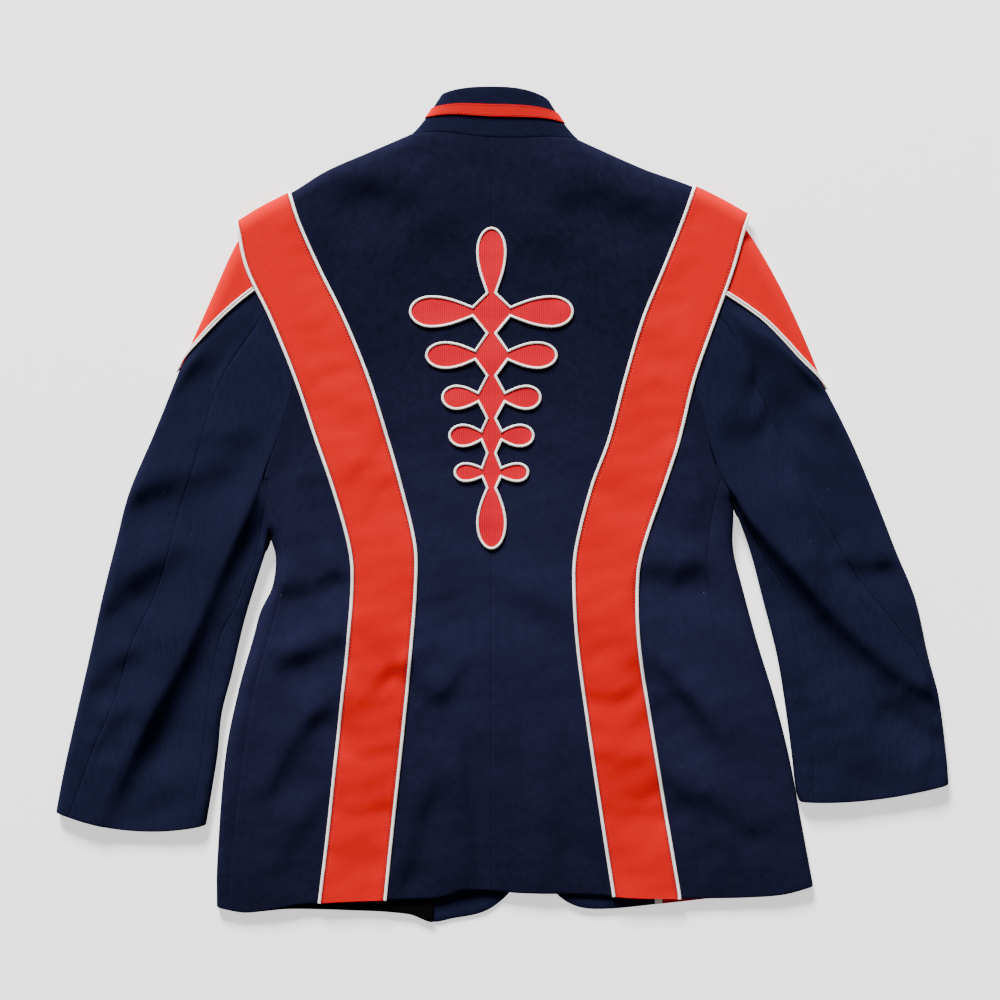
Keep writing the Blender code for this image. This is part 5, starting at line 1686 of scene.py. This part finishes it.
class JACKET_OT_stage(bpy.types.Operator):
    """Make the plain pale floor, the soft light and the camera over the jacket"""

    bl_idname = "jacket.stage"
    bl_label = "Stage"

    def execute(self, context):
        bm = bmesh.new()
        bmesh.ops.create_grid(bm, x_segments=1, y_segments=1, size=FLOOR_HALF)
        mesh = bpy.data.meshes.new("floor")
        bm.to_mesh(mesh)
        bm.free()
        floor = bpy.data.objects.new("floor", mesh)
        context.scene.collection.objects.link(floor)
        pale = Finish("pale_floor", roughness=0.95, specular=0.1)
        pale.shader.inputs["Base Color"].default_value = FLOOR_COLOUR
        pale.shader.inputs["Emission Color"].default_value = WHITE
        pale.shader.inputs["Emission Strength"].default_value = FLOOR_GLOW
        mesh.materials.append(pale.material)

        world = bpy.data.worlds.new("studio")
        world.use_nodes = True
        background = world.node_tree.nodes["Background"]
        background.inputs["Color"].default_value = WHITE
        background.inputs["Strength"].default_value = STUDIO_LIGHT
        context.scene.world = world

        for name, where, power, size in LAMPS:
            lamp = bpy.data.lights.new(name, "AREA")
            lamp.energy = power
            lamp.size = size
            light = bpy.data.objects.new(name, lamp)
            light.location = where
            light.rotation_euler = (-Vector(where)).to_track_quat("-Z", "Y").to_euler()
            context.scene.collection.objects.link(light)

        lens = bpy.data.cameras.new("camera")
        lens.lens = LENS
        lens.sensor_width = SENSOR
        lens.clip_end = FARTHEST_SEEN
        camera = bpy.data.objects.new("camera", lens)
        camera.location = (*CAMERA_OVER, context.scene.jacket_sizes.camera_height + CLOTH_LEVEL)
        context.scene.collection.objects.link(camera)
        context.scene.camera = camera
        return {"FINISHED"}


class JACKET_PT_panel(bpy.types.Panel):
    """The jacket's settings and its pieces"""

    bl_idname = "JACKET_PT_panel"
    bl_label = "Marching Band Jacket"
    bl_space_type = "VIEW_3D"
    bl_region_type = "UI"
    bl_category = "Jacket"

    def draw(self, context):
        for group in (context.scene.jacket_colours, context.scene.jacket_sizes):
            for name in group.__annotations__:
                self.layout.prop(group, name)
        for operator in OPERATORS:
            self.layout.operator(operator.bl_idname)


OPERATORS = (JACKET_OT_body, JACKET_OT_sleeves, JACKET_OT_bands, JACKET_OT_collar, JACKET_OT_ladder,
             JACKET_OT_inside, JACKET_OT_stage)
CLASSES = (JacketColours, JacketSizes, *OPERATORS, JACKET_PT_panel)


def register():
    for each in CLASSES:
        bpy.utils.register_class(each)
    bpy.types.Scene.jacket_colours = PointerProperty(type=JacketColours)
    bpy.types.Scene.jacket_sizes = PointerProperty(type=JacketSizes)


def unregister():
    del bpy.types.Scene.jacket_sizes
    del bpy.types.Scene.jacket_colours
    for each in reversed(CLASSES):
        bpy.utils.unregister_class(each)


def main():
    register()
    bpy.ops.jacket.body()
    bpy.ops.jacket.sleeves()
    bpy.ops.jacket.bands()
    bpy.ops.jacket.collar()
    bpy.ops.jacket.ladder()
    bpy.ops.jacket.inside()
    bpy.ops.jacket.stage()


if __name__ == "__main__":
    main()
